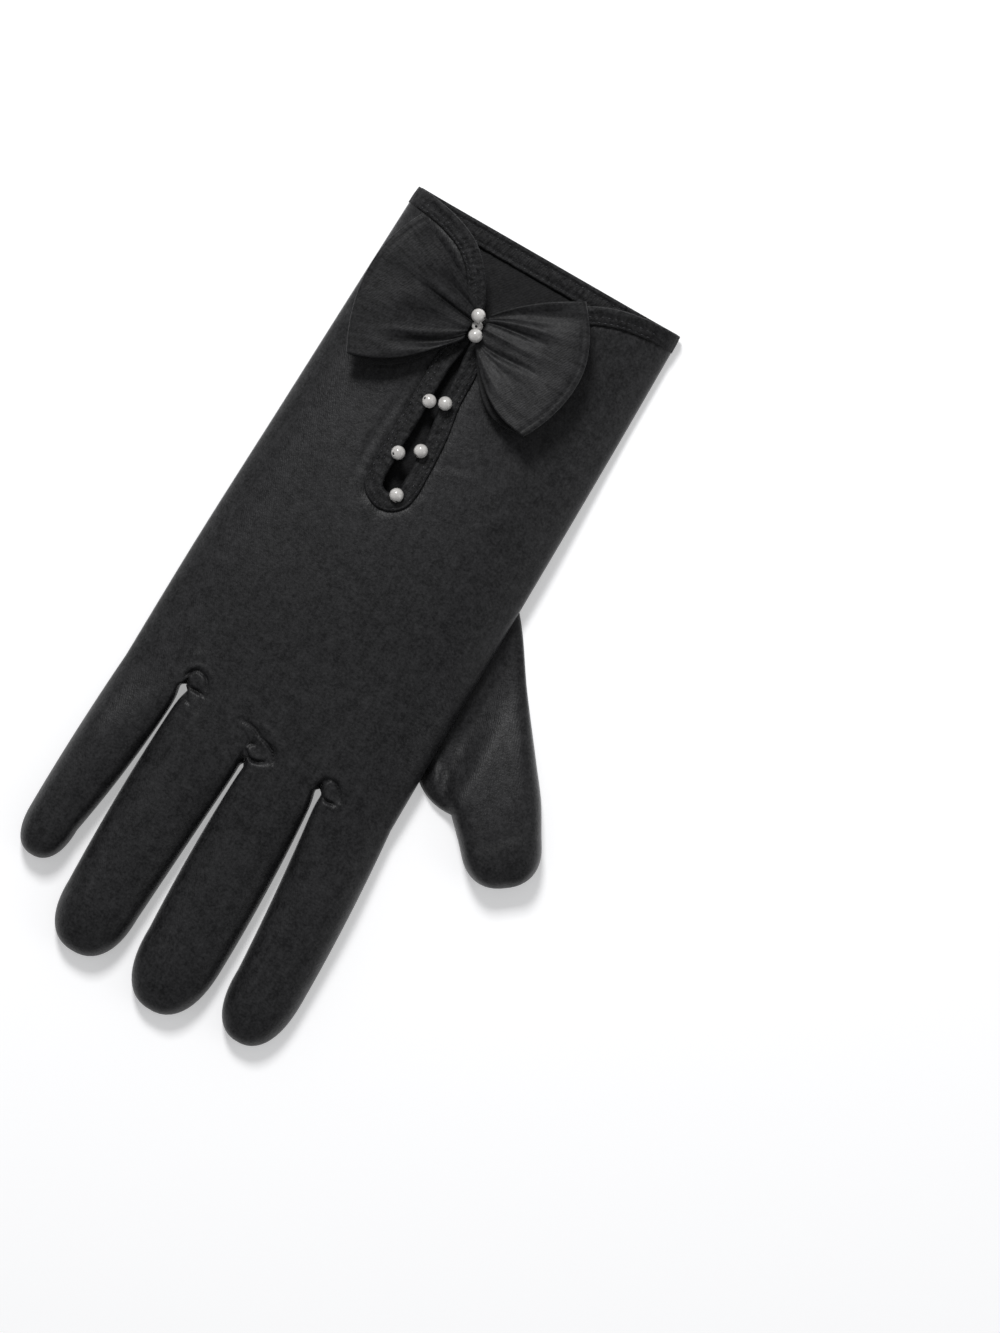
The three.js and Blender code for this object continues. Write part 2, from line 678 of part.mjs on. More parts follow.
// The middle pearl sits in the gather, and the other two lean on it from both sides
KNOT_PEARLS.forEach((row, i) => {
  const away = Math.hypot(row.aside, row.up) * PEARL_DIAMETER;
  const diameter = away > 0 ? PEARL_DIAMETER : MIDDLE_PEARL_DIAMETER;
  const touch = (PEARL_DIAMETER + MIDDLE_PEARL_DIAMETER + CLEARANCE) / 2;
  const above = away > 0 ? Math.sqrt(touch ** 2 - away ** 2) : 0;
  const x = BOW_X + row.aside * PEARL_DIAMETER;
  const y = bowY + row.up * PEARL_DIAMETER;
  const z = bowBase + GATHER_HEIGHT + CLEARANCE + MIDDLE_PEARL_DIAMETER / 2 + above;
  addPiece(`knot_pearl_${i + 1}`, makePearl(diameter, x, y, z), pearl);
});

KEYHOLE_PEARLS.forEach((row, i) => {
  const [edgeX, y] = keyholeEdge(row.edge, row.down);
  const x = edgeX + row.edge * row.onto * BINDING_WIDTH;
  const z = backHeight(x, y) + 2 * CLEARANCE + BINDING_THICKNESS + PEARL_DIAMETER / 2;
  addPiece(`keyhole_pearl_${i + 1}`, makePearl(PEARL_DIAMETER, x, y, z), pearl);
});

export default glove;
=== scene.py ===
"""Wrist length dress glove of black satin, for the right hand, lying flat with its back up.

Shapes are worked out in millimetres in the frame of the part (+Y to the cuff, +X to the thumb's side,
+Z up, the floor at 0) and turned to metres when a mesh is made.
"""

import math

import bmesh
import bpy
import numpy as np
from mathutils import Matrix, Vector


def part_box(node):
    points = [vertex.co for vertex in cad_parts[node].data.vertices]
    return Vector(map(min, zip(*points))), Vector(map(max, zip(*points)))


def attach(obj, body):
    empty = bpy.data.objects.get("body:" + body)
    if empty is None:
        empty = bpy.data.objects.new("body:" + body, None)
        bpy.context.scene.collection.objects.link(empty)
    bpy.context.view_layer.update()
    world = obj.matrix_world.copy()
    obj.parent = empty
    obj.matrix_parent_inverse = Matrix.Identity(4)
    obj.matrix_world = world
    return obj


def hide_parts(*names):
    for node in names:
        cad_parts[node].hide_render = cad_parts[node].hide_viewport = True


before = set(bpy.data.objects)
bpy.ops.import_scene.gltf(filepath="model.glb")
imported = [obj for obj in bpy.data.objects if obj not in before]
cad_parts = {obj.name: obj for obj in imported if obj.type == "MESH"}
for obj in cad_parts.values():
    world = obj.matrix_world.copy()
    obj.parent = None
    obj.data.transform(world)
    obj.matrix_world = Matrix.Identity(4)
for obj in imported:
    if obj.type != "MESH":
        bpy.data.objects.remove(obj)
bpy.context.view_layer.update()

# ---------------------------------------------------------------------
# The view: the glove lies on a pale table and the camera looks straight down on it. The glove
# lies turned in the picture, so the camera is turned about the vertical by the same angle.
# A soft lamp stands beyond the cuff on the little finger's side, and a weak one on the thumb's.

VIEW_CENTRE = (47.6, 6.6)
VIEW_TURN = math.radians(31.1)
VIEW_HEIGHT = 380
CAMERA_UP = 1600
MIDDLE_HEIGHT = 8
SENSOR = 36
LAMP_AIM = Vector((0.02, 0.0, 0.0))
LAMP_AWAY = 1.1
# The lamps' power in watts, size in metres, turn from the picture's top in radians, rise in degrees
LAMPS = {"key_lamp": (9.6, 0.26, 0.12, 47), "side_lamp": (1.2, 0.6, -1.9, 28)}


def put_object(name, data):
    """Object of this data, linked to the scene."""
    made = bpy.data.objects.new(name, data)
    bpy.context.scene.collection.objects.link(made)
    return made


camera = put_object("camera", bpy.data.cameras.new("camera"))
camera.data.sensor_fit = "VERTICAL"
camera.data.sensor_height = SENSOR
camera.data.lens = SENSOR * CAMERA_UP / VIEW_HEIGHT
camera.location = Vector((*VIEW_CENTRE, CAMERA_UP + MIDDLE_HEIGHT)) / 1000
camera.rotation_euler = (0, 0, VIEW_TURN)
bpy.context.scene.camera = camera


def linear(hex_colour):
    """sRGB hex, such as #1c1c1e, as a linear colour."""
    parts = [int(hex_colour[i : i + 2], 16) / 255 for i in (1, 3, 5)]
    return [p / 12.92 if p <= 0.04045 else ((p + 0.055) / 1.055) ** 2.4 for p in parts] + [1]


def add_lamp(name, power, size, turn, rise):
    """Square area lamp that faces the aim, from a direction with this turn and rise."""
    lamp = put_object(name, bpy.data.lights.new(name, "AREA"))
    lamp.data.energy = power
    lamp.data.size = size
    turn, rise = VIEW_TURN + math.pi / 2 + turn, math.radians(rise)
    towards = Vector((math.cos(rise) * math.cos(turn), math.cos(rise) * math.sin(turn), math.sin(rise)))
    lamp.location = LAMP_AIM + towards * LAMP_AWAY
    lamp.rotation_euler = towards.to_track_quat("Z", "Y").to_euler()


for lamp_name, lamp_row in LAMPS.items():
    add_lamp(lamp_name, *lamp_row)

room = bpy.data.worlds.new("pale_room")
room.use_nodes = True
room.node_tree.nodes["Background"].inputs["Color"].default_value = linear("#f4f5f7")
room.node_tree.nodes["Background"].inputs["Strength"].default_value = 0.33
bpy.context.scene.world = room
bpy.context.scene.view_settings.view_transform = "Standard"


def add_node(material, kind, inputs=None, **settings):
    """Adds a node. inputs are values, or (node, output) pairs that are linked. settings are its own."""
    made = material.node_tree.nodes.new(kind)
    for name, value in settings.items():
        setattr(made, name, value)
    for socket, value in (inputs or {}).items():
        if isinstance(value, tuple) and isinstance(value[0], bpy.types.Node):
            material.node_tree.links.new(value[0].outputs[value[1]], made.inputs[socket])
        else:
            made.inputs[socket].default_value = value
    return made


def new_material(name):
    """Empty node material, and the place on the object in metres as a (node, output) pair."""
    material = bpy.data.materials.new(name)
    material.use_nodes = True
    material.node_tree.nodes.clear()
    return material, (add_node(material, "ShaderNodeTexCoord"), "Object")


def add_noise(material, place, scale, detail, roughness=0.5):
    """Noise of so many lumps a metre over a place, as such a pair too."""
    inputs = {"Vector": place, "Scale": scale, "Detail": detail, "Roughness": roughness}
    return add_node(material, "ShaderNodeTexNoise", inputs), "Fac"


def add_bands(material, place, scale, distortion, **more):
    """Diagonal bands that lie 0.44/scale metres apart, as such a pair."""
    inputs = {"Vector": place, "Scale": scale, "Distortion": distortion, **more}
    settings = {"wave_type": "BANDS", "bands_direction": "DIAGONAL"}
    return add_node(material, "ShaderNodeTexWave", inputs, **settings), "Fac"


def add_ramp(material, value, *stops):
    """Colour ramp between two stops, (place, colour) each, as such a pair."""
    ramp = add_node(material, "ShaderNodeValToRGB", {"Fac": value})
    for element, (at, colour) in zip(ramp.color_ramp.elements, stops):
        element.position = at
        element.color = linear(colour)
    return ramp, "Color"


def add_bump(material, strength, depth, height):
    """Bump of this depth in metres, as such a pair."""
    inputs = {"Strength": strength, "Distance": depth, "Height": height}
    return add_node(material, "ShaderNodeBump", inputs), "Normal"


def finish_material(material, inputs):
    """One principled surface with these inputs, as the material's output."""
    surface = add_node(material, "ShaderNodeBsdfPrincipled", inputs)
    add_node(material, "ShaderNodeOutputMaterial", {"Surface": (surface, "BSDF")})


# Opal acrylic lit from below, as a light table is: it stays white right up to the glove and in the
# narrow slits between the fingers, and takes only a soft shadow
table_paint, table_place = new_material("opal_acrylic_light_table")
table_tooth = add_noise(table_paint, table_place, 180.0, 2.0)
finish_material(table_paint, {
    "Base Color": linear("#e9e9ea"),
    "Roughness": 0.9,
    "Specular IOR Level": 0.1,
    "Emission Color": linear("#ffffff"),
    "Emission Strength": 0.34,
    "Normal": add_bump(table_paint, 0.04, 0.0002, table_tooth),
})

TABLE_HALF = 2.5
TABLE_BELOW = 0.0003
table = bpy.data.meshes.new("table")
table.from_pydata(
    [(x * TABLE_HALF, y * TABLE_HALF, -TABLE_BELOW) for x, y in ((-1, -1), (1, -1), (1, 1), (-1, 1))],
    [],
    [(0, 1, 2, 3)],
)
table.materials.append(table_paint)
put_object("table", table)


# ---------------------------------------------------------------------
# The hand: back, palm and four fingers, cut from black satin and sewn with the seams inside.
# The back is open in a V that runs on as a keyhole. The fingers lie flat with rounded edges,
# and the cloth is gathered in small folds where the slits between them end.

CUFF_LENGTH = 113
CUFF_SLOPE = 0.02
PALM_LENGTH = 50
KNUCKLE_HALF = 45.8
HAND_HEIGHT = 12.6
FINGER_HEIGHT = 10.4
FINGER_LENGTH = 79
SLIT_WIDTH = 0.7
CLOTH = 0.8
# The seam's height over the underside, and how far out that lies flat, as shares of height and half width
SEAM_SHARE = 0.14
FLAT_SHARE = 0.7

# Outline of the hand from the knuckles to the cuff, as shares of its length, half width and height
HAND_ROWS = {
    "along": (0, 0.25, 0.55, 0.8, 1),
    "left": (1, 0.998, 0.976, 0.958, 0.942),
    "right": (0.985, 0.974, 0.966, 0.955, 0.941),
    "height": (0.92, 1, 1, 0.99, 0.97),
}

# The fingers from the little one to the index: edges as shares of the half width at the root, at the
# middle and where the round tip starts, reach and cap as shares of the finger length. The root line is
# how far the hand's sides and the crotches lie down, as shares of the palm's length.
FINGERS = [
    {"left": (-1, -1.022, -1.026), "right": (-0.582, -0.613, -0.688), "reach": 0.74, "cap": 0.160},
    {"left": (-0.582, -0.602, -0.587), "right": (-0.022, -0.051, -0.079), "reach": 0.962, "cap": 0.215},
    {"left": (-0.022, -0.026, -0.002), "right": (0.47, 0.522, 0.537), "reach": 1, "cap": 0.256},
    {"left": (0.47, 0.55, 0.607), "right": (0.985, 1.04, 1.066), "reach": 0.936, "cap": 0.229},
]
ROOT_LINE = (0.92, 0.88, 1.10, 1.00, 1.00)
REACH_FROM = 1.004

# The thumb's middle line and the gusset's lobe, over which the palm and the back ease up
THUMB_LENGTH = 92
THUMB_WIDTH = 25.4
PRESSED_HEIGHT = 2.6
CLEARANCE = 0.3
THUMB_ANGLE = math.radians(36.9)
THUMB_SIN, THUMB_COS = math.sin(THUMB_ANGLE), math.cos(THUMB_ANGLE)
THUMB_ROOT = (26.4, 26.6)
GUSSET_RADIUS = 16.5
GUSSET_FROM_TIP = 37
GUSSET_ASIDE = 5.5
LIFTED_SHARE = 0.55
PALM_EASE = 17
BACK_EASE = 60

# Folds of the back: each runs from its start by its middle to its end. height is over the cloth
# round it, and a negative one is a groove. width is the fold's half width.
BACK_FOLDS = np.array([
    # start x, y, middle x, y, end x, y, height, width
    (-28, -43.5, -26.6, -39.4, -24, -38.9, -1.53, 0.47),
    (-24.6, -38.9, -21.8, -39.9, -20.2, -44, -1.44, 0.42),
    (-29, -42.5, -26.4, -37.9, -23.4, -37.6, 0.23, 0.77),
    (-24, -37.7, -20.4, -38.7, -18.9, -43.5, 0.23, 0.72),
    (-26, -42.3, -24, -41, -21.6, -42.6, 0.2, 0.68),
    (-25.6, -44.3, -23, -43.9, -20.3, -44, -2.04, 0.38),
    (-25.4, -45.5, -23, -45, -20.9, -45.3, 0.13, 0.51),
    (-25.4, -48.2, -24, -47.7, -22.4, -48, -0.85, 0.47),
    (-20.2, -43.6, -19.9, -46.5, -19.8, -50, -0.77, 0.42),
    (-28.5, -37, -27.5, -35, -25, -33.5, 0.25, 1.1),
    (-8.5, -44.6, -4, -44.3, 0, -46, -1.02, 0.51),
    (-0.6, -45.8, 4.6, -47.6, 6.8, -52, -1.61, 0.47),
    (-4, -43, 3, -43.8, 8.2, -50, 0.25, 0.81),
    (-3.6, -47.2, 0.4, -46.8, 3.6, -48.6, 0.2, 0.59),
    (-2.8, -50.6, -1.9, -48.9, -0.4, -48.2, -1.36, 0.42),
    (-2.6, -50.4, 0.9, -52.6, 4.9, -50.4, -2.12, 0.42),
    (-1.6, -52.2, 1.2, -54, 4.8, -52, 0.18, 0.59),
    (4.2, -49, 5.8, -50.8, 6.4, -53.4, 0.29, 0.38),
    (6.8, -51.6, 7.4, -55, 7.5, -60, -0.85, 0.47),
    (-2.9, -51, -2.3, -53.4, -1.5, -56, -1.61, 0.42),
    (-4.6, -51, -4.4, -54, -3.4, -58, 0.16, 0.68),
    (21, -49.6, 21.4, -47.2, 23, -45.8, -1.61, 0.68),
    (22.6, -45.9, 26, -46.6, 28.6, -50.8, -1.27, 0.42),
    (21.4, -44.8, 26, -44.8, 29.8, -50.4, 0.23, 0.72),
    (23.6, -48.6, 25.2, -48, 27, -49.6, 0.16, 0.59),
    (23.2, -51.3, 25.4, -51.6, 27.6, -51.1, -1.95, 0.41),
    (23.6, -52.9, 25.6, -53.1, 27.6, -52.5, 0.16, 0.55),
    (28.2, -49.6, 28.9, -51.6, 28.4, -54.6, 0.23, 0.42),
    (29.2, -51, 29.6, -53, 29.4, -56, -0.68, 0.42),
    (-27.4, -42.6, -24.6, -41.8, -20.4, -45.4, -0.6, 2.4),
    (-4.8, -49.4, -0.8, -48.4, 5.2, -52.4, -0.8, 3),
    (21, -48.2, 24.6, -48, 29, -52, -0.6, 2.4),
    (-20, -49, -20.7, -82, -19.8, -116, -0.16, 0.55),
    (7.5, -59, 8.3, -88, 8, -118, -0.2, 0.55),
    (29.4, -55, 32.3, -85, 32.4, -116, -0.38, 0.55),
    (43, 30, 43.4, 14, 43, -2, -0.4, 0.9),
    (2, 45.6, 8, 48.6, 14.5, 50, -0.25, 0.8),
    (-15.6, 63, -16.6, 46, -15.8, 29, -0.35, 1.4),
    (-42, 104.5, -27, 98, -12, 90, -1.6, 2.6),
    (-24, -10, -14, -22, -8, -38, -0.25, 4.5),
    (14, -4, 18, -20, 19, -36, -0.25, 4.5),
    (-38, 40, -36, 10, -38, -20, 0.3, 5),
    (28, 60, 24, 25, 27, -12, 0.3, 6),
])

# Edge of the V from the cuff's corners down to its point, and of the keyhole below it
V_DEPTH = 25.5
KEYHOLE_X = -5.7
KEYHOLE_LENGTH = 57
KEYHOLE_WIDTH = 5.4
BINDING_WIDTH = 5.2
POINT_Y = CUFF_LENGTH - V_DEPTH
# Rows: how far down, and the left and right edge beside the keyhole's middle line
V_EDGE = np.array([
    (0, 0.03, 0.1, 0.23, 0.42, 0.65, 0.88),
    (1, 0.84, 0.62, 0.41, 0.26, 0.145, 0.07),
    (1, 0.8, 0.62, 0.46, 0.33, 0.2, 0.07),
])
# Rows: how far down, the middle and the half width
KEYHOLE_EDGE = np.array([
    (0.06, 0.18, 0.26, 0.42, 0.6, 0.78, 0.92),
    (-0.24, -0.26, -0.27, -0.24, -0.07, 0, 0.04),
    (0.08, 0.09, 0.22, 0.26, 0.41, 0.49, 0.47),
])


def smooth(t):
    """0 below 0, 1 above 1, and 3t² - 2t³ between."""
    t = np.clip(t, 0, 1)
    return t * t * (3 - 2 * t)


def mix(a, b, t):
    """a at t = 0, b at t = 1, and straight between."""
    return a + (b - a) * t


def curve_through(place, at, values):
    """Smooth curve through the values: between two of them a cubic whose slopes are their neighbours'."""
    at, values = np.asarray(at, float), np.asarray(values, float)
    slopes = np.gradient(values, at)
    i = np.clip(np.searchsorted(at, place, side="right") - 1, 0, len(at) - 2)
    width = at[i + 1] - at[i]
    t = np.clip((place - at[i]) / width, 0, 1)
    from_values = values[i] * (1 + 2 * t) * (1 - t) ** 2 + values[i + 1] * t * t * (3 - 2 * t)
    return from_values + width * (slopes[i] * t * (1 - t) ** 2 - slopes[i + 1] * t * t * (1 - t))


def place_between(x, left, right):
    """Place of x between two sides, from -1 at the left one to 1 at the right one."""
    return 2 * (x - left) / (right - left) - 1


def through_three(values, t):
    """Parabola through three values at 0, a half and 1."""
    a, b, c = values
    return a * (1 - t) * (1 - 2 * t) + b * 4 * t * (1 - t) + c * t * (2 * t - 1)


def round_end(t):
    """Share of the full width left at a place t, from 0 to 1, in a round end: (1 - t^2.4)^(1/2.4)."""
    return np.maximum(0, 1 - t**2.4) ** (1 / 2.4)


def tube_height(u, height, top, power=3):
    """Height of the upper or lower cloth of a flattened tube, with u from -1 to 1 between its edges.

    The upper one is seam + (height - seam)·√(1 - |u|^power), flatter for a higher power, and the lower
    one is flat in its middle and rises to the seam as a parabola.
    """
    seam = height * SEAM_SHARE
    across = np.minimum(1, np.abs(u))
    if top:
        return seam + (height - seam) * np.sqrt(1 - across**power)
    rise = np.maximum(0, (across - FLAT_SHARE) / (1 - FLAT_SHARE))
    return seam * rise**2


def on_thumb(out, aside):
    """Point at a distance out along the thumb's middle line, and aside from it towards the fingers."""
    x = THUMB_ROOT[0] + THUMB_SIN * out - THUMB_COS * aside
    return x, THUMB_ROOT[1] - THUMB_COS * out - THUMB_SIN * aside


def along_thumb(x, y):
    """The distances out and aside of a point, the other way round."""
    dx, dy = x - THUMB_ROOT[0], y - THUMB_ROOT[1]
    return dx * THUMB_SIN - dy * THUMB_COS, -dx * THUMB_COS - dy * THUMB_SIN


def ease_over_thumb(x, y, top):
    """How far back or palm is lifted by the pressed thumb and lobe: fully over them, and easing off."""
    out, aside = along_thumb(x, y)
    past = np.maximum(0, np.maximum(THUMB_WIDTH / 2 - out, out - THUMB_LENGTH))
    from_thumb = np.hypot(past, aside) - THUMB_WIDTH * LIFTED_SHARE
    lobe_x, lobe_y = on_thumb(THUMB_LENGTH - GUSSET_FROM_TIP, GUSSET_ASIDE)
    from_lobe = np.hypot(x - lobe_x, y - lobe_y) - GUSSET_RADIUS
    away = np.maximum(0, np.minimum(from_thumb, from_lobe))
    return (PRESSED_HEIGHT + CLEARANCE) * smooth(1 - away / (BACK_EASE if top else PALM_EASE))


def fold_height(x, y, rows):
    """Sum of the folds: height·exp(-(distance/width)²), faded to both ends by the root of a half sine."""
    total = np.zeros(np.shape(x))
    t = np.linspace(0, 1, 41)
    for x0, y0, x1, y1, x2, y2, height, width in rows:
        line_x, line_y = through_three((x0, x1, x2), t), through_three((y0, y1, y2), t)
        apart = np.hypot(x[..., None] - line_x, y[..., None] - line_y)
        nearest = apart.argmin(-1)
        fade = np.sqrt(np.sin(np.pi * t[nearest]))
        total += height * fade * np.exp(-((apart.min(-1) / width) ** 2))
    return total


def cuff_line(x):
    """y of the cuff's edge at x."""
    return CUFF_LENGTH + CUFF_SLOPE * x


def hand_at(y):
    """Left side, right side and height of the hand at y."""
    along = np.clip((y + PALM_LENGTH) / (CUFF_LENGTH + PALM_LENGTH), 0, 1)
    left, right, height = (
        curve_through(along, HAND_ROWS["along"], HAND_ROWS[key]) for key in ("left", "right", "height")
    )
    return -KNUCKLE_HALF * left, KNUCKLE_HALF * right, HAND_HEIGHT * height


def length_along(points, power=1):
    """Length along a line of points from its start, as a sum of its steps to this power."""
    steps = np.linalg.norm(np.diff(points, axis=0), axis=1)
    return np.concatenate([[0], np.cumsum(steps**power)])


def opening_path(steps):
    """Edge of the opening from the cuff's left corner round the keyhole to the right corner.

    A smooth curve goes through the two tables' points and the half circle at the keyhole's end, and
    is cut in equal steps. Returned are the points, the directions from the edge onto the cloth, and
    the length from the left corner.
    """
    down, left_share, right_share = V_EDGE
    left_side, right_side, _ = hand_at(CUFF_LENGTH)
    left_x = KEYHOLE_X - left_share * (KEYHOLE_X - left_side)
    right_x = KEYHOLE_X + right_share * (right_side - KEYHOLE_X)
    left = np.stack([left_x, cuff_line(left_x) - V_DEPTH * down], 1)
    right = np.stack([right_x, cuff_line(right_x) - V_DEPTH * down], 1)
    key_y = POINT_Y - KEYHOLE_LENGTH * KEYHOLE_EDGE[0]
    key_middle = KEYHOLE_X + KEYHOLE_WIDTH * KEYHOLE_EDGE[1]
    key_half = KEYHOLE_WIDTH * KEYHOLE_EDGE[2]
    turn = np.pi * (1 + np.array([0.25, 0.5, 0.75]))
    end_x, end_y = key_middle[-1] + key_half[-1] * np.cos(turn), key_y[-1] + key_half[-1] * np.sin(turn)
    end = np.stack([end_x, end_y], 1)
    key_left = np.stack([key_middle - key_half, key_y], 1)
    key_right = np.stack([key_middle + key_half, key_y], 1)
    knots = np.concatenate([left, key_left, end, key_right[::-1], right[::-1]])
    pace = length_along(knots, 0.5)
    fine = np.linspace(0, pace[-1], 4000)
    x, y = (curve_through(fine, pace, knots[:, k]) for k in (0, 1))
    length = length_along(np.stack([x, y], 1))
    even = np.linspace(0, length[-1], steps)
    x, y = np.interp(even, length, x), np.interp(even, length, y)
    ahead = np.stack([np.gradient(x), np.gradient(y)], 1)
    ahead /= np.linalg.norm(ahead, axis=1, keepdims=True)
    return np.stack([x, y], 1), np.stack([ahead[:, 1], -ahead[:, 0]], 1), even


edge, onto_cloth, edge_length = opening_path(460)


def from_opening(x, y):
    """Distance from the opening's edge, above 0 on the cloth, and the length along the edge there."""
    apart = np.hypot(x[..., None] - edge[:, 0], y[..., None] - edge[:, 1])
    nearest = apart.argmin(-1)
    side = (x - edge[nearest, 0]) * onto_cloth[nearest, 0] + (y - edge[nearest, 1]) * onto_cloth[nearest, 1]
    return np.where(side > 0, 1, -1) * apart.min(-1), edge_length[nearest]


def back_relief(x, y):
    """What the back's cloth adds to the plain form: its folds, slow waves of two sines, and puckers.

    beyond is the distance past the binding's outer seam. The puckers are
    0.28·cos(2π·length/2.7)·exp(-beyond/2.6), uneven in size along the seam, which also pulls the cloth
    down by 0.55·exp(-(beyond/1.6)²).
    """
    waves = 0.22 * np.sin(x / 9.1 + y / 17.3) * np.sin(y / 13.7 - x / 21.0)
    distance, length = from_opening(x, y)
    beyond = np.maximum(0, distance - BINDING_WIDTH + 1)
    uneven = 0.6 + 0.4 * np.sin(length / 7.3) * np.sin(length / 3.1)
    puckers = 0.28 * np.cos(2 * np.pi * length / 2.7) * np.exp(-beyond / 2.6) * uneven
    settle = -0.55 * np.exp(-((beyond / 1.6) ** 2))
    return fold_height(x, y, BACK_FOLDS) + waves + puckers + settle


FINGER_COLUMNS = 36
PALM_COLUMNS = 12
# Shares of the way from the finger roots to the cuff and to the tips, close together at the roots
HAND_STEPS = np.concatenate([np.linspace(0, 0.09, 37)[:-1], np.linspace(0.09, 1, 128)])
FINGER_STEPS = np.concatenate([np.linspace(0, 0.12, 19)[:-1], np.linspace(0.12, 1, 46)])
CROTCH_POWER = 14
PINCH_RATE = 60
OWN_ROUND = 26
knuckle_y = -PALM_LENGTH * np.array(ROOT_LINE)


def spread_over(columns):
    """Places from -1 to 1 across a finger, closer together at its two edges."""
    even = np.linspace(0, 1, columns + 1)
    return -0.5 * np.cos(np.pi * even) + even - 0.5


def crotch_side(number, u):
    """|u| on the sides of a finger that have a neighbour, and 0 on the hand's outer sides."""
    return np.abs(u) * np.where(u < 0, number > 0, number < len(FINGERS) - 1)


def finger_height(number, u, whole, hand_height, down, top):
    """Height of a finger's upper or lower cloth at a distance down from its root.

    At the root it is the hand's own arch, pinched to the seam at the crotches alone by √(1 - |u|^14),
    and within 26 mm it turns to a flattened tube of its own.
    """
    arch = tube_height(whole, hand_height, top)
    seam = FINGER_HEIGHT * SEAM_SHARE
    pinched = crotch_side(number, u)
    if top:
        arch = seam + (arch - seam) * np.sqrt(1 - pinched**CROTCH_POWER)
    else:
        arch = arch + tube_height(pinched, FINGER_HEIGHT, False)
    return mix(arch, tube_height(u, FINGER_HEIGHT, top), smooth(down / OWN_ROUND))


KEYHOLE_PUSH = 8.4
PUSH_WIDTH = 13
PUSH_FROM = 14
PUSH_TO = POINT_Y + 8
PUSH_FADE = 22


def under_keyhole(x, y):
    """How far the palm is pushed up under the keyhole: push·exp(-(aside/width)²), faded at both ends."""
    along = smooth((y - PUSH_FROM) / PUSH_FADE) * smooth((PUSH_TO - y) / PUSH_FADE)
    return KEYHOLE_PUSH * along * np.exp(-(((x - KEYHOLE_X) / PUSH_WIDTH) ** 2))


def hand_grid(top):
    """Back or palm from the cuff to the finger roots, a grid whose columns are those of the fingers.

    Columns run from the finger's own places at the root to nearly even ones at the cuff, a little
    closer at the sides. The pinch of the crotches ends within a sixtieth of the length. The palm is
    pushed up under the keyhole, as it lies close under it.
    """
    columns = FINGER_COLUMNS if top else PALM_COLUMNS
    column = np.arange(4 * columns + 1)
    finger = np.minimum(3, column // columns)
    column -= finger * columns
    u = spread_over(columns)[column]
    root_y = mix(knuckle_y[finger], knuckle_y[finger + 1], column / columns)
    step = HAND_STEPS[::-1, None]
    left, right, height = hand_at(mix(root_y, cuff_line(0), step))
    even = np.linspace(-1, 1, len(u))
    across = 0.45 * even + 0.55 * np.sin(np.pi / 2 * even)
    root_left, root_right = (
        KNUCKLE_HALF * np.array([row[side][0] for row in FINGERS])[finger] for side in ("left", "right")
    )
    root_left = np.where(finger == 0, left, root_left)
    root_right = np.where(finger == 3, right, root_right)
    at_root = mix(root_left, root_right, (u + 1) / 2)
    x = mix(at_root, mix(left, right, (across + 1) / 2), smooth(step * 1.6))
    y = mix(root_y, cuff_line(x), step)
    whole = place_between(x, left, right)
    blend = 1 - smooth(step * PINCH_RATE)
    z = mix(tube_height(whole, height, top), finger_height(finger, u, whole, height, 0, top), blend)
    z += ease_over_thumb(x, y, top)
    if top:
        free = (1 - np.abs(whole) ** 8) * (1 - blend * crotch_side(finger, u) ** CROTCH_POWER)
        z += back_relief(x, y) * free
    else:
        z += under_keyhole(x, y)
    return np.stack([x, y, z], -1)


# How much wider than the slit its head is: at one side of the hand, the crotches and the other side
SLIT_HEADS = (0, 0.85, 0.15, 0.60, 0)
HEAD_LENGTH = 1.3


def half_slit(crotch, down):
    """Half the slit's width at a distance down from its crotch: it opens within 1 mm to a wider head."""
    if crotch in (0, len(SLIT_HEADS) - 1):
        return 0 * down
    head = SLIT_HEADS[crotch] * down / HEAD_LENGTH * np.exp(1 - down / HEAD_LENGTH)
    return SLIT_WIDTH / 2 * smooth(down) + head


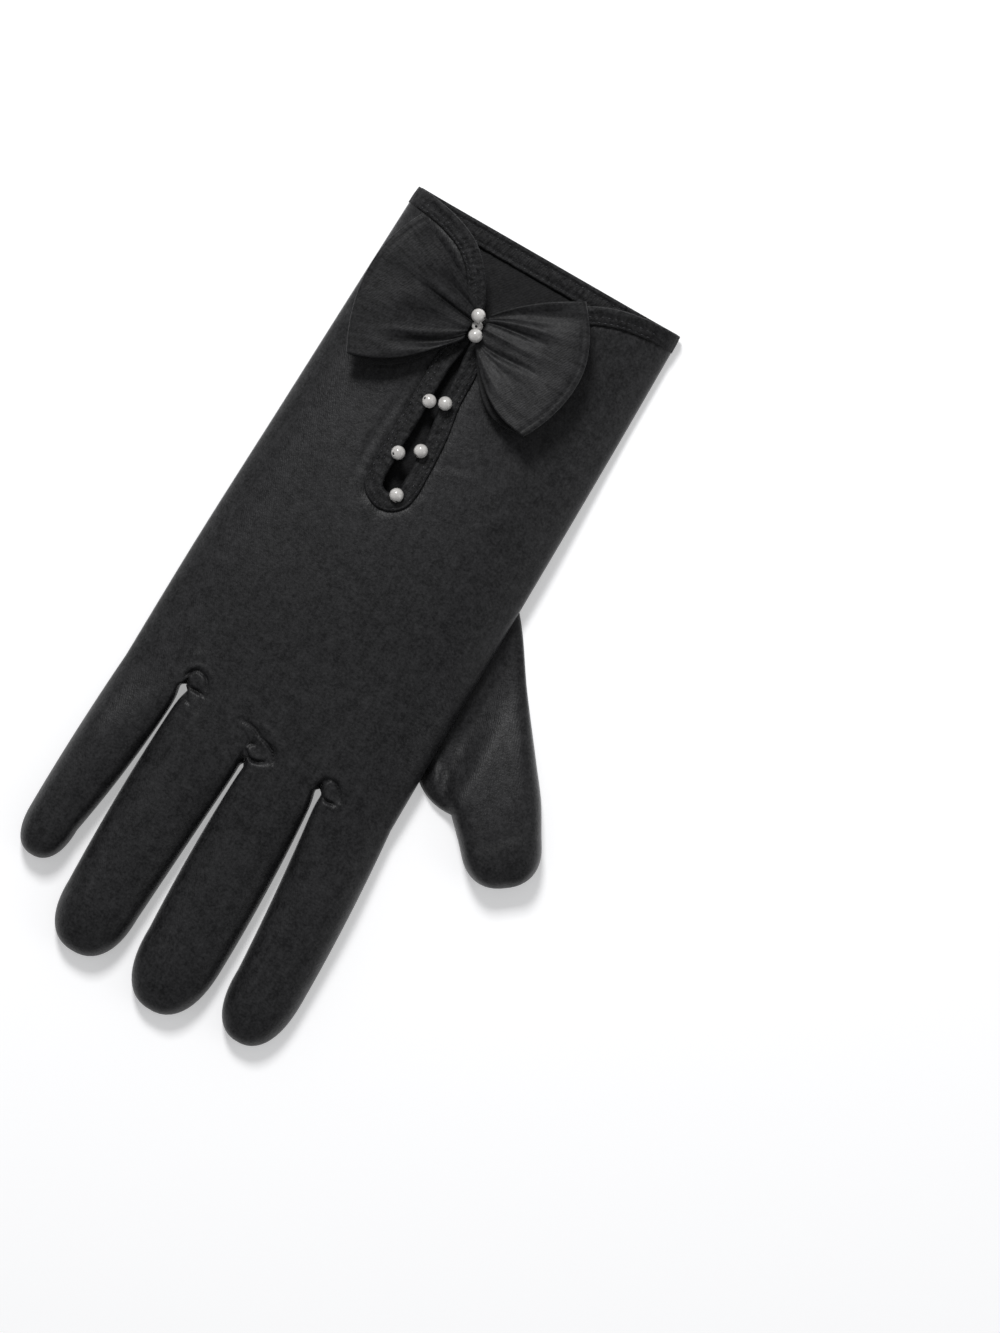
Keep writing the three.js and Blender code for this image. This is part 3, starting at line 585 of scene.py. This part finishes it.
def finger_grid(number, top, root_row):
    """One finger from the hand's root row to its round tip.

    Its edges are parabolas through the table's three places. The slit takes half its width off the
    outer quarter of the finger, by (2·|u| - 1)². The tip's width and height shrink as a round end does.
    """
    row = FINGERS[number]
    tip = -PALM_LENGTH * REACH_FROM - FINGER_LENGTH * row["reach"]
    cap = FINGER_LENGTH * row["cap"]
    shoulder = tip + cap
    spread = spread_over(root_row.shape[0] - 1)
    hand_left, hand_right, hand_height = hand_at(root_row[:, 1])
    whole = place_between(root_row[:, 0], hand_left, hand_right)
    start = mix(knuckle_y[number], knuckle_y[number + 1], np.linspace(0, 1, len(spread)))
    t = FINGER_STEPS[1:, None]
    left_from, right_from = t * (knuckle_y[number] - shoulder), t * (knuckle_y[number + 1] - shoulder)
    left, right = (KNUCKLE_HALF * through_three(row[side], t) for side in ("left", "right"))
    body_x = mix(left, right, (spread + 1) / 2)
    body_x += half_slit(number, left_from) * np.maximum(0, -2 * spread - 1) ** 2
    body_x -= half_slit(number + 1, right_from) * np.maximum(0, 2 * spread - 1) ** 2
    body_y = mix(start, shoulder, t)
    body_z = finger_height(number, spread + 0 * t, whole, hand_height, start - body_y, top)

    s = np.sin(np.pi / 2 * np.linspace(0, 1, 15)[1:, None])
    share = round_end(s)
    middle_x = (body_x[-1, 0] + body_x[-1, -1]) / 2
    cap_x = middle_x + (body_x[-1] - middle_x) * share
    cap_y = shoulder - cap * s + 0 * spread
    seam = FINGER_HEIGHT * SEAM_SHARE
    cap_z = mix(seam, tube_height(spread, FINGER_HEIGHT, top), share**0.8)

    x, y = np.concatenate([body_x, cap_x]), np.concatenate([body_y, cap_y])
    z = np.concatenate([body_z, cap_z]) + ease_over_thumb(x, y, top)
    if top:
        reach = np.concatenate([np.ones_like(t), share])
        at_root = (1 - np.abs(whole) ** 8) * (1 - crotch_side(number, spread) ** CROTCH_POWER)
        free = mix(at_root, 1 - np.abs(spread) ** CROTCH_POWER, smooth((start - y) / OWN_ROUND))
        z += back_relief(x, y) * free * np.minimum(1, reach * 1.5)
    return np.concatenate([root_row[None], np.stack([x, y, z], -1)])


def grid_faces(rows, columns, turned=False):
    """Quads between neighbouring points of a grid that is counted row by row."""
    corner = (np.arange(rows - 1)[:, None] * columns + np.arange(columns - 1)).ravel()
    quads = np.stack([corner, corner + columns, corner + columns + 1, corner + 1], 1)
    return quads[:, ::-1] if turned else quads


def face_count(grid):
    """How many quads a grid has."""
    return (grid.shape[0] - 1) * (grid.shape[1] - 1)


def join_grids(grids):
    """Points, quads and texture places of several (points, turned) grids as one list each.

    A texture place is the length along the grid's middle column and across its middle row, in metres.
    """
    points, quads, places, count = [], [], [], 0
    for grid, turned in grids:
        rows, columns = grid.shape[:2]
        quads.append(grid_faces(rows, columns, turned) + count)
        points.append(grid.reshape(-1, 3))
        over, down = length_along(grid[rows // 2]), length_along(grid[:, columns // 2])
        places.append(np.stack(np.meshgrid(over / 1000, down / 1000), -1).reshape(-1, 2))
        count += rows * columns
    return np.concatenate(points), np.concatenate(quads), np.concatenate(places)


def put_mesh(name, joined, material, node):
    """Object of joined points, faces and places, which stands for a CAD node. Doubles are merged."""
    points, faces, places = joined
    mesh = bpy.data.meshes.new(name)
    mesh.from_pydata((points / 1000).tolist(), [], faces.tolist())
    texture = mesh.uv_layers.new(name="along_cloth")
    corners = np.zeros(len(mesh.loops), np.int32)
    mesh.loops.foreach_get("vertex_index", corners)
    texture.data.foreach_set("uv", places[corners].ravel())
    shape = bmesh.new()
    shape.from_mesh(mesh)
    bmesh.ops.remove_doubles(shape, verts=shape.verts, dist=2e-6)
    bmesh.ops.dissolve_degenerate(shape, edges=shape.edges, dist=1e-7)
    shape.to_mesh(mesh)
    shape.free()
    mesh.polygons.foreach_set("use_smooth", np.ones(len(mesh.polygons), bool))
    mesh.materials.append(material)
    made = put_object(name, mesh)
    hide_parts(node)
    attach(made, "root")
    return made


def give_wall(piece):
    """Turns a surface into cloth with thickness, whose inner side shows the satin's reverse."""
    piece.data.materials.append(satin_reverse)
    wall = piece.modifiers.new("cloth", "SOLIDIFY")
    wall.thickness = CLOTH / 1000
    wall.offset = -1
    wall.use_even_offset = False
    wall.material_offset = 1


FLOAT_BANDS = 628.0
GLOSS_SPREAD = 0.14


def woven_satin(name, colour, light_colour, roughness, turn, streaks, drawn, bump=0.40):
    """Satin, woven of fine bright polyester with long floats on its face.

    The floats give it one direction of gloss, and the threads vary a little in thickness, which
    mottles the tone. Real floats lie 0.1 mm apart, drawn 0.7 mm apart to show, in a grain 0.8 mm and
    a mottle 3 mm wide. Streaks of gloss run along pulled threads: streaks is how many lie in a metre
    of the cloth's width and length, and drawn is their share in the tone.
    """
    satin, place = new_material(name)
    turned = add_node(satin, "ShaderNodeMapping", {"Vector": place, "Rotation": (0, 0, turn)})
    detail = {"Detail": 3.0, "Detail Scale": 1.6}
    floats = add_bands(satin, (turned, "Vector"), FLOAT_BANDS, 5.0, **detail)
    grain = add_noise(satin, place, 1250.0, 3.0, 0.7)
    mottle = add_noise(satin, place, 330.0, 5.0, 0.75)
    along = add_node(satin, "ShaderNodeUVMap", uv_map="along_cloth"), "UV"
    pulled = add_node(satin, "ShaderNodeMapping", {"Vector": along, "Scale": (*streaks, 1)})
    streak = add_noise(satin, (pulled, "Vector"), 1.0, 2.0)

    def blend(share, first, second):
        """Two values mixed, as a (node, output) pair."""
        inputs = {"Factor": share, "A": first, "B": second}
        return add_node(satin, "ShaderNodeMix", inputs, data_type="FLOAT"), "Result"

    shade = blend(drawn, blend(0.55, mottle, grain), streak)
    gloss = add_node(
        satin,
        "ShaderNodeMapRange",
        {"Value": shade, "To Min": roughness + GLOSS_SPREAD, "To Max": roughness - GLOSS_SPREAD},
    )
    finish_material(satin, {
        "Base Color": add_ramp(satin, shade, (0.40, colour), (0.62, light_colour)),
        "Roughness": (gloss, "Result"),
        "Specular IOR Level": 0.18,
        "Sheen Weight": 0.03,
        "Sheen Roughness": 0.45,
        "Sheen Tint": linear("#9a9aa2"),
        "Normal": add_bump(satin, bump, 0.0003, blend(0.85, floats, grain)),
    })
    return satin


# The glove's own cloth: even and half dull, with a soft gloss on what leans to the light
glove_satin = woven_satin("woven_black_satin", "#111112", "#2f2f30", 0.42, 0.25, (700, 60), 0.12)
# The reverse of satin has short floats only, so it is dull and darker. Its lighter tone is raised a little
# as painted light, which eases the shade on the palm seen through the keyhole
satin_reverse = woven_satin("dull_reverse_of_black_satin", "#0f0f10", "#1f1f20", 0.66, 1.4, (700, 60), 0.0)

# The opening is cut this far inside the binding, so that the strip covers the cut's steps
CUT_WITHIN = 1.4


def cut_opening(joined, back_faces):
    """Drops the back's faces, the first ones, whose middle lies in the opening or close by its edge."""
    points, faces, places = joined
    middle = points[faces].mean(1)
    distance, _ = from_opening(middle[:, 0], middle[:, 1])
    return points, faces[~((distance < CUT_WITHIN) & (np.arange(len(faces)) < back_faces))], places


def hand_side(top):
    """Back or palm with its four fingers, as grids. The palm's faces are turned."""
    columns = FINGER_COLUMNS if top else PALM_COLUMNS
    grids = [hand_grid(top)]
    for number in range(len(FINGERS)):
        root_row = grids[0][-1, number * columns : (number + 1) * columns + 1]
        grids.append(finger_grid(number, top, root_row))
    return [(grid, not top) for grid in grids]


back = hand_side(True)
back_faces = sum(face_count(grid) for grid, _ in back)
hand_cloth = cut_opening(join_grids(back + hand_side(False)), back_faces)
hand = put_mesh("hand_satin", hand_cloth, glove_satin, "hand")
give_wall(hand)


# ---------------------------------------------------------------------
# The thumb: its own flat tube of the same satin, set into the palm and pressed flat under the
# hand. It rises beside the hand. The gusset's round lobe joins its inner side with a crease.

THUMB_HEIGHT = 11
LOBE_HEIGHT = 5.4
RISE_FROM = 4.5
THUMB_RISE = 9
THUMB_POWER = 6
THUMB_ROWS = {
    "along": (0, 0.14, 0.4, 0.62, 0.74, 0.87, 1),
    "outer": (0.38, 0.47, 0.47, 0.49, 0.5, 0.46, 0.44),
    "inner": (0.38, 0.46, 0.52, 0.58, 0.53, 0.46, 0.44),
    "height": (0.24, 0.24, 0.32, 0.69, 0.86, 1, 1.06),
}
THUMB_CAP = 0.128
THUMB_ROOT_CAP = 0.10
THUMB_COLUMNS = 30

THUMB_FOLDS = np.array([
    # start x, y, middle x, y, end x, y, height, width
    (44, -21, 49, -27.6, 54.5, -36, -1, 1),
    (46.5, -20, 52, -27, 57.5, -35, 0.55, 1.6),
    (53, -36, 60, -39, 66, -43, -0.35, 1.1),
    (47.5, 14, 48.8, -2, 49.5, -20, -0.9, 2.6),
    (60, -2, 68, -15, 74, -28, 0.35, 3.5),
    (68, -42, 73, -36, 79, -30, -0.25, 2),
])


def thumb_grid(top):
    """Flat tube from its root to its tip, with a round end at both.

    Its inner edge is the tube's or the lobe's circle, whichever lies further out. Its height goes from
    the pressed one under the hand to its own beside the hand, which grows towards the tip.
    """
    ends = np.linspace(0, 1, 15)
    root = THUMB_ROOT_CAP * (1 - np.cos(np.pi / 2 * ends))
    tip = 1 - THUMB_CAP * (1 - np.sin(np.pi / 2 * ends))
    straight = np.linspace(THUMB_ROOT_CAP, 1 - THUMB_CAP, 68)[1:-1]
    along = np.concatenate([root, straight, tip])[:, None]
    end = np.concatenate([1 - ends, 0 * straight, ends])[:, None]
    share = round_end(np.sin(np.pi / 2 * end))
    outer, inner, full = (
        curve_through(along, THUMB_ROWS["along"], THUMB_ROWS[key]) for key in ("outer", "inner", "height")
    )
    outer, inner = THUMB_WIDTH * outer * share, THUMB_WIDTH * inner * share
    from_lobe = along * THUMB_LENGTH - (THUMB_LENGTH - GUSSET_FROM_TIP)
    lobe = GUSSET_ASIDE + np.sqrt(np.maximum(0, GUSSET_RADIUS**2 - from_lobe**2))
    lobe = np.where(np.abs(from_lobe) < GUSSET_RADIUS, lobe, 0)
    beside = np.maximum(inner, lobe)
    u = spread_over(THUMB_COLUMNS)
    aside = np.where(u < 0, -beside * u, -outer * u)
    x, y = on_thumb(along * THUMB_LENGTH, aside)
    outside = x - hand_at(y)[1] - RISE_FROM
    height = mix(PRESSED_HEIGHT, THUMB_HEIGHT * full, smooth(outside / THUMB_RISE))
    on_lobe = smooth((aside - inner + 3) / 5) * (lobe > inner)
    height = mix(height, mix(PRESSED_HEIGHT, LOBE_HEIGHT, smooth(1 + outside / RISE_FROM)), on_lobe)
    seam = height * SEAM_SHARE
    z = mix(seam, tube_height(u + 0 * height, height, top, THUMB_POWER), share**0.8)
    if top:
        showing = smooth(1 + outside / RISE_FROM) * (1 - np.abs(u) ** 10) * share
        waves = 0.15 * np.sin(x / 5.3 + y / 8.1)
        z = z + (fold_height(x, y, THUMB_FOLDS) + waves) * showing
    return np.stack([x, y, z], -1)


thumb_cloth = join_grids([(thumb_grid(True), False), (thumb_grid(False), True)])
thumb = put_mesh("thumb_satin", thumb_cloth, glove_satin, "thumb")
give_wall(thumb)


# ---------------------------------------------------------------------
# The binding of the opening: a bias strip folded over the cut edge of the back, so it shows as a
# raised band. It is sewn through with two rows of black thread, and the sewing puckers it.

STITCH_ROWS = (2.9, 4.5)
STITCH_PITCH = 2.0
STITCH_LENGTH = 1.15
STITCH_THICK = 0.36
STITCH_SINK = 0.28
STITCH_UP = 0.88
FIRST_STITCH = 4
PATH_STEPS = 620
END_WITHIN = 10
SIDE_MARGIN = 0.2

# The strip's profile round the cut edge, from its outer seam over the top and round to the inside.
# Rows: away from the edge, and height over the face that it is sewn to
BINDING_PROFILE = np.array([
    (5.25, 5.2, 5, 4.65, 4.3, 3.9, 3.3, 2.65, 2, 1.4, 1, 0.65, 0.25, 0.02, -0.12,
     -0.05, 0.2, 0.6, 1.6, 3, 4.4, 5),
    (-0.3, 0.35, 0.8, 0.78, 0.72, 0.9, 0.94, 0.8, 0.92, 1.06, 1.12, 1.08, 0.9, 0.5,
     0, -0.7, -1.35, -1.6, -1.6, -1.6, -1.6, -1.5),
])


def pucker(length, away):
    """Ripples across the strip, deepest beside the stitches, with uneven size along it.

    The thread pulls each row of stitches into a furrow, and the cloth stands up between the rows.
    """
    uneven = 0.6 + 0.4 * np.sin(length / 5.9 + 1.3) * np.sin(length / 2.3)
    near_rows = sum(np.exp(-(((away - row) / 0.8) ** 2)) for row in STITCH_ROWS)
    furrow = sum(np.exp(-(((away - row) / 0.45) ** 2)) for row in STITCH_ROWS)
    ripple = np.cos(2 * np.pi * length / STITCH_PITCH + 0.9 * away)
    crosswise = np.sin(length / 0.61 - 2.3 * away) * np.sin(length / 1.9 + 1.1 * away)
    mottled = np.sin(length / 0.43 + 3.7 * away) * np.sin(length / 0.83 - 2.9 * away)
    waves = 0.07 * ripple * near_rows + 0.15 * crosswise + 0.13 * mottled
    return uneven * waves - 0.13 * furrow * (1 + 0.4 * ripple)


def sewn_face(x, y, top):
    """Height of the face that a strip is sewn to: the back's outer one, or the palm's inner one."""
    left, right, height = hand_at(y)
    outer = tube_height(place_between(x, left, right), height, top) + ease_over_thumb(x, y, top)
    return outer if top else outer + CLOTH


def strip_grid(path, onto, length, top, profile, past_side):
    """Profile carried along a path: points at path + onto·away, at the face's height + height.

    It is kept within the hand's sides and past_side, and puckered where its height is over the edge's.
    Within 10 mm of both ends the inner fold is drawn up to a fifth of its depth, into the side seam.
    """
    away, height = profile[:, None]
    from_end = np.minimum(length, length[-1] - length)[:, None]
    height = np.where(height < 0, height * mix(0.2, 1, smooth(from_end / END_WITHIN)), height)
    x = path[:, :1] + onto[:, :1] * away
    y = path[:, 1:] + onto[:, 1:] * away
    left, right, _ = hand_at(y)
    x = np.clip(x, left - past_side, right + past_side)
    shown = smooth((height + 0.2) / 0.6)
    z = sewn_face(x, y, top) + height + pucker(length[:, None], away) * shown
    return np.stack([x, y, z], -1)


def stitch_dashes(path, onto, length, top, row, height, start):
    """Stitches as short thick threads, half sunk in the strip: each is a capsule of 7 by 7 points."""
    at = start + STITCH_PITCH * np.arange(int((length[-1] - 2 * start) / STITCH_PITCH))
    middle = np.stack([np.interp(at, length, path[:, k] + onto[:, k] * row) for k in (0, 1)], 1)
    aside = np.stack([np.interp(at, length, onto[:, k]) for k in (0, 1)], 1)
    aside /= np.linalg.norm(aside, axis=1, keepdims=True)
    ahead = np.stack([-aside[:, 1], aside[:, 0]], 1)
    z = sewn_face(*middle.T, top) + height + pucker(at, row)
    along = np.linspace(-1, 1, 7)[:, None]
    turn = 2 * np.pi * np.arange(7) / 6
    thread = STITCH_THICK / 2 * np.sqrt(np.maximum(0, 1 - np.abs(along) ** 3))
    forward = (along * STITCH_LENGTH / 2 + 0 * turn)[..., None]
    sideways = (thread * np.cos(turn))[..., None]
    up = thread * np.sin(turn) - STITCH_SINK * along**2
    middle, ahead, aside = (v[:, None, None] for v in (middle, ahead, aside))
    flat = middle + ahead * forward + aside * sideways
    return np.concatenate([flat, (z[:, None, None] + up)[..., None]], -1)


def sew_rows(course, rows):
    """The stitches of all rows, (away, height) each. Every next row starts a millimetre further on."""
    return np.concatenate(
        [stitch_dashes(*course, *row, FIRST_STITCH + number) for number, row in enumerate(rows)]
    )


# The same satin cut aslant and pressed: duller and darker than the glove, and mottled by the sewing
binding_satin = woven_satin(
    "bias_strip_of_black_satin", "#030304", "#262627", 0.62, 0.95, (300, 500), 0.15, bump=0.8
)

# The twist of the ply, a turn each half millimetre, glints along each stitch
TWIST_BANDS = 314 / 0.35
sewing_thread, thread_place = new_material("twisted_black_polyester_thread")
thread_twist = add_bands(sewing_thread, thread_place, TWIST_BANDS, 1.0)
finish_material(sewing_thread, {
    "Base Color": linear("#252528"),
    "Roughness": 0.42,
    "Specular IOR Level": 0.35,
    "Normal": add_bump(sewing_thread, 0.4, 0.0001, thread_twist),
})


def paint_from(piece, first_face, material):
    """Gives the piece's faces from this one on a second material."""
    piece.data.materials.append(material)
    second = np.arange(len(piece.data.polygons)) >= first_face
    piece.data.polygons.foreach_set("material_index", second.astype(np.int32))


def put_strip(name, strip, dashes, node):
    """Strip and its stitches as one object, the stitches in thread."""
    joined = join_grids([(grid, False) for grid in (strip, *dashes)])
    made = put_mesh(name, joined, binding_satin, node)
    paint_from(made, face_count(strip), sewing_thread)
    return made


opening_course = (*opening_path(PATH_STEPS), True)
opening_strip = strip_grid(*opening_course, BINDING_PROFILE, SIDE_MARGIN)
opening_dashes = sew_rows(opening_course, [(row, STITCH_UP) for row in STITCH_ROWS])
opening_binding = put_strip("opening_binding_strip", opening_strip, opening_dashes, "opening_binding")


# ---------------------------------------------------------------------
# The binding of the palm's edge: the same bias strip, folded over the straight edge of the palm
# at the cuff. It shows inside the V as a band with a seam ridge on both of its sides.

PALM_PROFILE = np.array([
    (6.3, 6.2, 5.9, 5.5, 5.1, 4.6, 4, 3.2, 2.4, 1.7, 1.2, 0.8, 0.4, 0.1, -0.25,
     -0.35, -0.2, 0.3, 1.5),
    (0, 0.55, 1.05, 1.2, 0.85, 0.95, 1.1, 1.12, 1.08, 0.85, 0.8, 1.05, 1.1, 0.95, 0.55,
     0, -0.45, -0.7, -0.7),
])
# Its rows of stitches: away from the edge, and height
PALM_STITCHES = ((5.1, 0.9), (1.5, 0.88))
PALM_EDGE = 86
PALM_EDGE_SHARE = 0.94
PALM_STEPS = 240
OVER_TABLE = 0.05

palm_x = np.linspace(-KNUCKLE_HALF * PALM_EDGE_SHARE, KNUCKLE_HALF * PALM_EDGE_SHARE, PALM_STEPS)
palm_path = np.stack([palm_x, cuff_line(palm_x) - 0.1], 1)
palm_onto = np.tile([0.0, -1.0], (PALM_STEPS, 1))
palm_course = (palm_path, palm_onto, np.linspace(0, PALM_EDGE, PALM_STEPS), False)
palm_strip = strip_grid(*palm_course, PALM_PROFILE, -CLOTH - SIDE_MARGIN)
palm_strip[..., 2] = np.maximum(palm_strip[..., 2], OVER_TABLE)
palm_dashes = sew_rows(palm_course, PALM_STITCHES)
palm_binding = put_strip("palm_binding_strip", palm_strip, palm_dashes, "palm_binding")


# ---------------------------------------------------------------------
# The bow: one satin band folded to two loops and gathered hard in the middle, so that pleats run
# out from the gather. It is sewn across the point of the V, and its right loop stands higher.

BOW_X = -7.7
BOW_BELOW_POINT = 1.6
BOW_REACH = 34
BOW_HALF_WIDTH = 22
BOW_PINCH = 4
GATHER_HEIGHT = 1.1
GATHER_HALF = 1.6
BOW_HEIGHT = 6.2
BOW_LIFT = 3.6
BACK_LAYER_LOWER = 2.2
FOLD_LINE_IN = 1.9
BOW_Y = POINT_Y - BOW_BELOW_POINT
BOW_BASE = float(sewn_face(np.array(BOW_X), np.array(BOW_Y), True)) + 2 * CLEARANCE + 1
# Each loop: its reach at the middle of the fold and at the fold's corners and how far up and down these
# lie, as shares of the reach and the half width, its lift and tilt, and how far its long edges swell
BOW_LOOPS = [
    {"side": -1, "fold": 1.03, "top_out": 0.88, "top_up": 0.85, "low_out": 0.82, "low_down": 1.17,
     "lift": 0.6, "tilt": 0.3, "top_swell": 0.01, "low_swell": 0.15},
    {"side": 1, "fold": 0.97, "top_out": 0.67, "top_up": 0.99, "low_out": 0.81, "low_down": 0.92,
     "lift": 0.88, "tilt": -0.6, "top_swell": 0.04, "low_swell": 0.17},
]

# Pleats in a loop's front: place across the loop from -1 to 1 at the gather and at the fold, height,
# half width as a share of the loop, and how far out it runs
PLEATS = {
    -1: [
        (0.1, 0.16, -1.4, 0.05, 0.62), (0.3, 0.34, 0.45, 0.07, 0.66),
        (-0.95, -0.74, -1.5, 0.06, 0.72), (-0.3, -0.1, 0.5, 0.08, 0.7),
        (0.7, 0.62, -0.55, 0.045, 0.55), (0.88, 0.8, 0.4, 0.06, 0.75),
        (-0.6, -0.66, 0.4, 0.05, 0.85), (-0.75, -0.8, -0.35, 0.04, 0.8),
        (-0.98, -0.92, 0.35, 0.05, 0.9),
    ],
    1: [
        (0.5, 0.33, -1.1, 0.05, 0.72), (-0.7, -0.19, -1.05, 0.05, 0.78),
        (0.05, 0.08, 0.5, 0.08, 0.8), (0.7, 0.52, 0.4, 0.05, 0.95),
        (0.86, 0.8, -1.5, 0.11, 1.1), (0.78, 0.66, -0.3, 0.035, 0.95),
        (-0.8, -0.5, -0.4, 0.05, 0.7), (-0.95, -0.8, 0.4, 0.06, 0.85),
    ],
}


def bow_grid(row):
    """One loop: a band that runs out from the gather, folds and comes back under itself.

    turn goes once round the loop, across from its lower to its upper edge. The reach is
    a = (1 - cos(turn))/2 of the way out, the height is half·|sin(turn)|^0.32 in front, so the front is
    flat with a tight fold, and to the power 0.7 behind. The loop is lifted towards the fold, one edge
    more than the other. The front's pleats are exp(-((across - place)/width)²), which fade on the way
    to the fold, and a sewn line runs beside the fold.
    """
    across = np.linspace(-1, 1, 97)[:, None]
    turn = np.linspace(0, 2 * np.pi, 101)[None]
    corner = np.where(across > 0, row["top_out"], row["low_out"])
    up = np.where(across > 0, row["top_up"], row["low_down"])
    out = BOW_REACH * mix(row["fold"], corner, across**2)
    rise = BOW_HALF_WIDTH * up * across
    a = 0.5 - 0.5 * np.cos(turn)
    reach = mix(GATHER_HALF, out, a)
    spread_up = mix(BOW_PINCH * across, rise, a**0.85)
    bent = np.where(across > 0, row["top_swell"], row["low_swell"])
    swell = BOW_HALF_WIDTH * bent * np.sin(np.pi * a) * across * np.abs(across)
    half = mix(0.32, 0.42, smooth(a * 1.5)) * BOW_HEIGHT
    lift = BOW_LIFT * row["lift"] * a * smooth(2 * a) * (1 + row["tilt"] * across)
    wave = np.sin(turn)
    bulge = np.sign(wave) * np.abs(wave) ** np.where(wave > 0, 0.32, 0.7) * half
    front = np.clip(wave, 0, 1) ** 0.6
    relief = 0
    for at_gather, at_fold, height, width, run in PLEATS[row["side"]]:
        place = mix(at_fold, at_gather, (1 - a) ** 3)
        wide = width * mix(1.5, 1.0, a)
        relief += height * np.exp(-(((across - place) / wide) ** 2)) * smooth((run - a) / run * 1.6)
    edge_line = -0.30 * np.exp(-(((out - reach - FOLD_LINE_IN) / 0.5) ** 2))
    waves = 0.25 * np.sin(reach / 3.9 + 5 * across) * np.sin(3.2 * across + row["side"])
    z = BOW_BASE + half + lift + bulge + (relief + edge_line + waves) * front
    behind = np.clip(-wave, 0, 1) * np.sin(np.pi * a) * np.maximum(0, -across) ** 2
    x = BOW_X + row["side"] * reach
    y = BOW_Y + spread_up + swell - BACK_LAYER_LOWER * behind
    return np.stack([x, y, z], -1)


def bow_gather():
    """The flat sewn middle: a ball pressed to the gather's width and height, with ribs along the band."""
    polar = np.linspace(0, np.pi, 25)[:, None]
    turn = np.linspace(0, 2 * np.pi, 41)[None]
    x = np.sin(polar) * np.cos(turn)
    y = np.sin(polar) * np.sin(turn)
    z = np.cos(polar) + 0 * turn
    ribs = 1 + 0.10 * np.cos(11 * y)
    height = BOW_BASE + GATHER_HEIGHT / 2 * (1 + z * ribs)
    return np.stack([BOW_X + 2 * GATHER_HALF * x, BOW_Y + BOW_PINCH * 0.9 * y, height], -1)


# The band is drawn tight into the gather, so lines of gloss run out from there along the loops
bow_satin = woven_satin("drawn_black_satin_band", "#0a0a0b", "#2a2a2b", 0.52, 1.2, (90, 800), 0.28)
bow_loops = [(bow_grid(row), row["side"] > 0) for row in BOW_LOOPS]
bow = put_mesh("bow_band", join_grids([*bow_loops, (bow_gather(), False)]), bow_satin, "bow")
give_wall(bow)


# ---------------------------------------------------------------------
# The pearls: imitation ones, glass or plastic balls with a pearly lacquer, bored through and sewn
# on with black thread. Three lie over the bow's gather and five along the keyhole's bound edges.

PEARL_BORE = 0.8

# Each pearl's bore: its turn, and how far its near end is tipped up, in degrees
BORES = {
    "knot_pearl_1": (190, 20),
    "knot_pearl_2": (60, 75),
    "knot_pearl_3": (215, 15),
    "keyhole_pearl_1": (0, 42),
    "keyhole_pearl_2": (20, 12),
    "keyhole_pearl_3": (75, 18),
    "keyhole_pearl_4": (45, 44),
    "keyhole_pearl_5": (120, 20),
}

# Lacquer that is dipped in several coats: a soft sheen, with a faint cloud 2 mm wide
pearl_lacquer, pearl_place = new_material("pearl_lacquer_on_a_moulded_ball")
pearl_cloud = add_noise(pearl_lacquer, pearl_place, 520.0, 3.0)
finish_material(pearl_lacquer, {
    "Base Color": add_ramp(pearl_lacquer, pearl_cloud, (0.30, "#aeaba8"), (0.72, "#cfcdca")),
    "Roughness": 0.22,
    "Coat Weight": 1.0,
    "Coat Roughness": 0.08,
    "Normal": add_bump(pearl_lacquer, 0.08, 0.0002, pearl_cloud),
})


def revolve(along, away, sides):
    """Profile turned about the first axis: (along, away·cos(turn), away·sin(turn))."""
    turn = np.linspace(0, 2 * np.pi, sides + 1)
    along, away = along[:, None], away[:, None]
    return np.stack([along + 0 * turn, away * np.cos(turn), away * np.sin(turn)], -1)


def bored_ball(diameter, centre, bore_turn, bore_tip):
    """Ball turned about its bore, with the bore's wall, and the thread that runs through it.

    The profile goes from the bore's middle out along its wall to its mouth and round the ball. The bore's
    far end points along bore_turn, and its near end is tipped up by bore_tip.
    """
    radius, bore = diameter / 2, PEARL_BORE / 2
    start = math.asin(bore / radius)
    polar = np.linspace(start, np.pi - start, 29)
    wall = np.linspace(0.35, 0.97, 5) * radius * math.cos(start)
    along = np.concatenate([[0], wall, radius * np.cos(polar), -wall[::-1], [0]])
    away = np.concatenate([[bore], 0 * wall + bore, radius * np.sin(polar), 0 * wall + bore, [bore]])
    thread_along = np.array([-1, -1, -0.97, 0.97, 1, 1]) * radius * 1.02
    thread_away = np.array([0, 0.2, 0.26, 0.26, 0.2, 0])
    dip, turn = math.radians(bore_tip), math.radians(bore_turn)
    axis = np.array([math.cos(dip) * math.cos(turn), math.cos(dip) * math.sin(turn), -math.sin(dip)])
    side = np.array([-math.sin(turn), math.cos(turn), 0])
    directions = np.stack([axis, side, np.cross(axis, side)])
    shapes = revolve(along, away, 32), revolve(-thread_along, thread_away, 12)
    return [shape @ directions + centre for shape in shapes]


for name, bore in BORES.items():
    low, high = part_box(name)
    ball, thread = bored_ball((high.z - low.z) * 1000, np.array((low + high) * 500), *bore)
    pearl_shape = join_grids([(ball, False), (thread, False)])
    pearl = put_mesh(f"{name}_bored", pearl_shape, pearl_lacquer, name)
    paint_from(pearl, face_count(ball), sewing_thread)
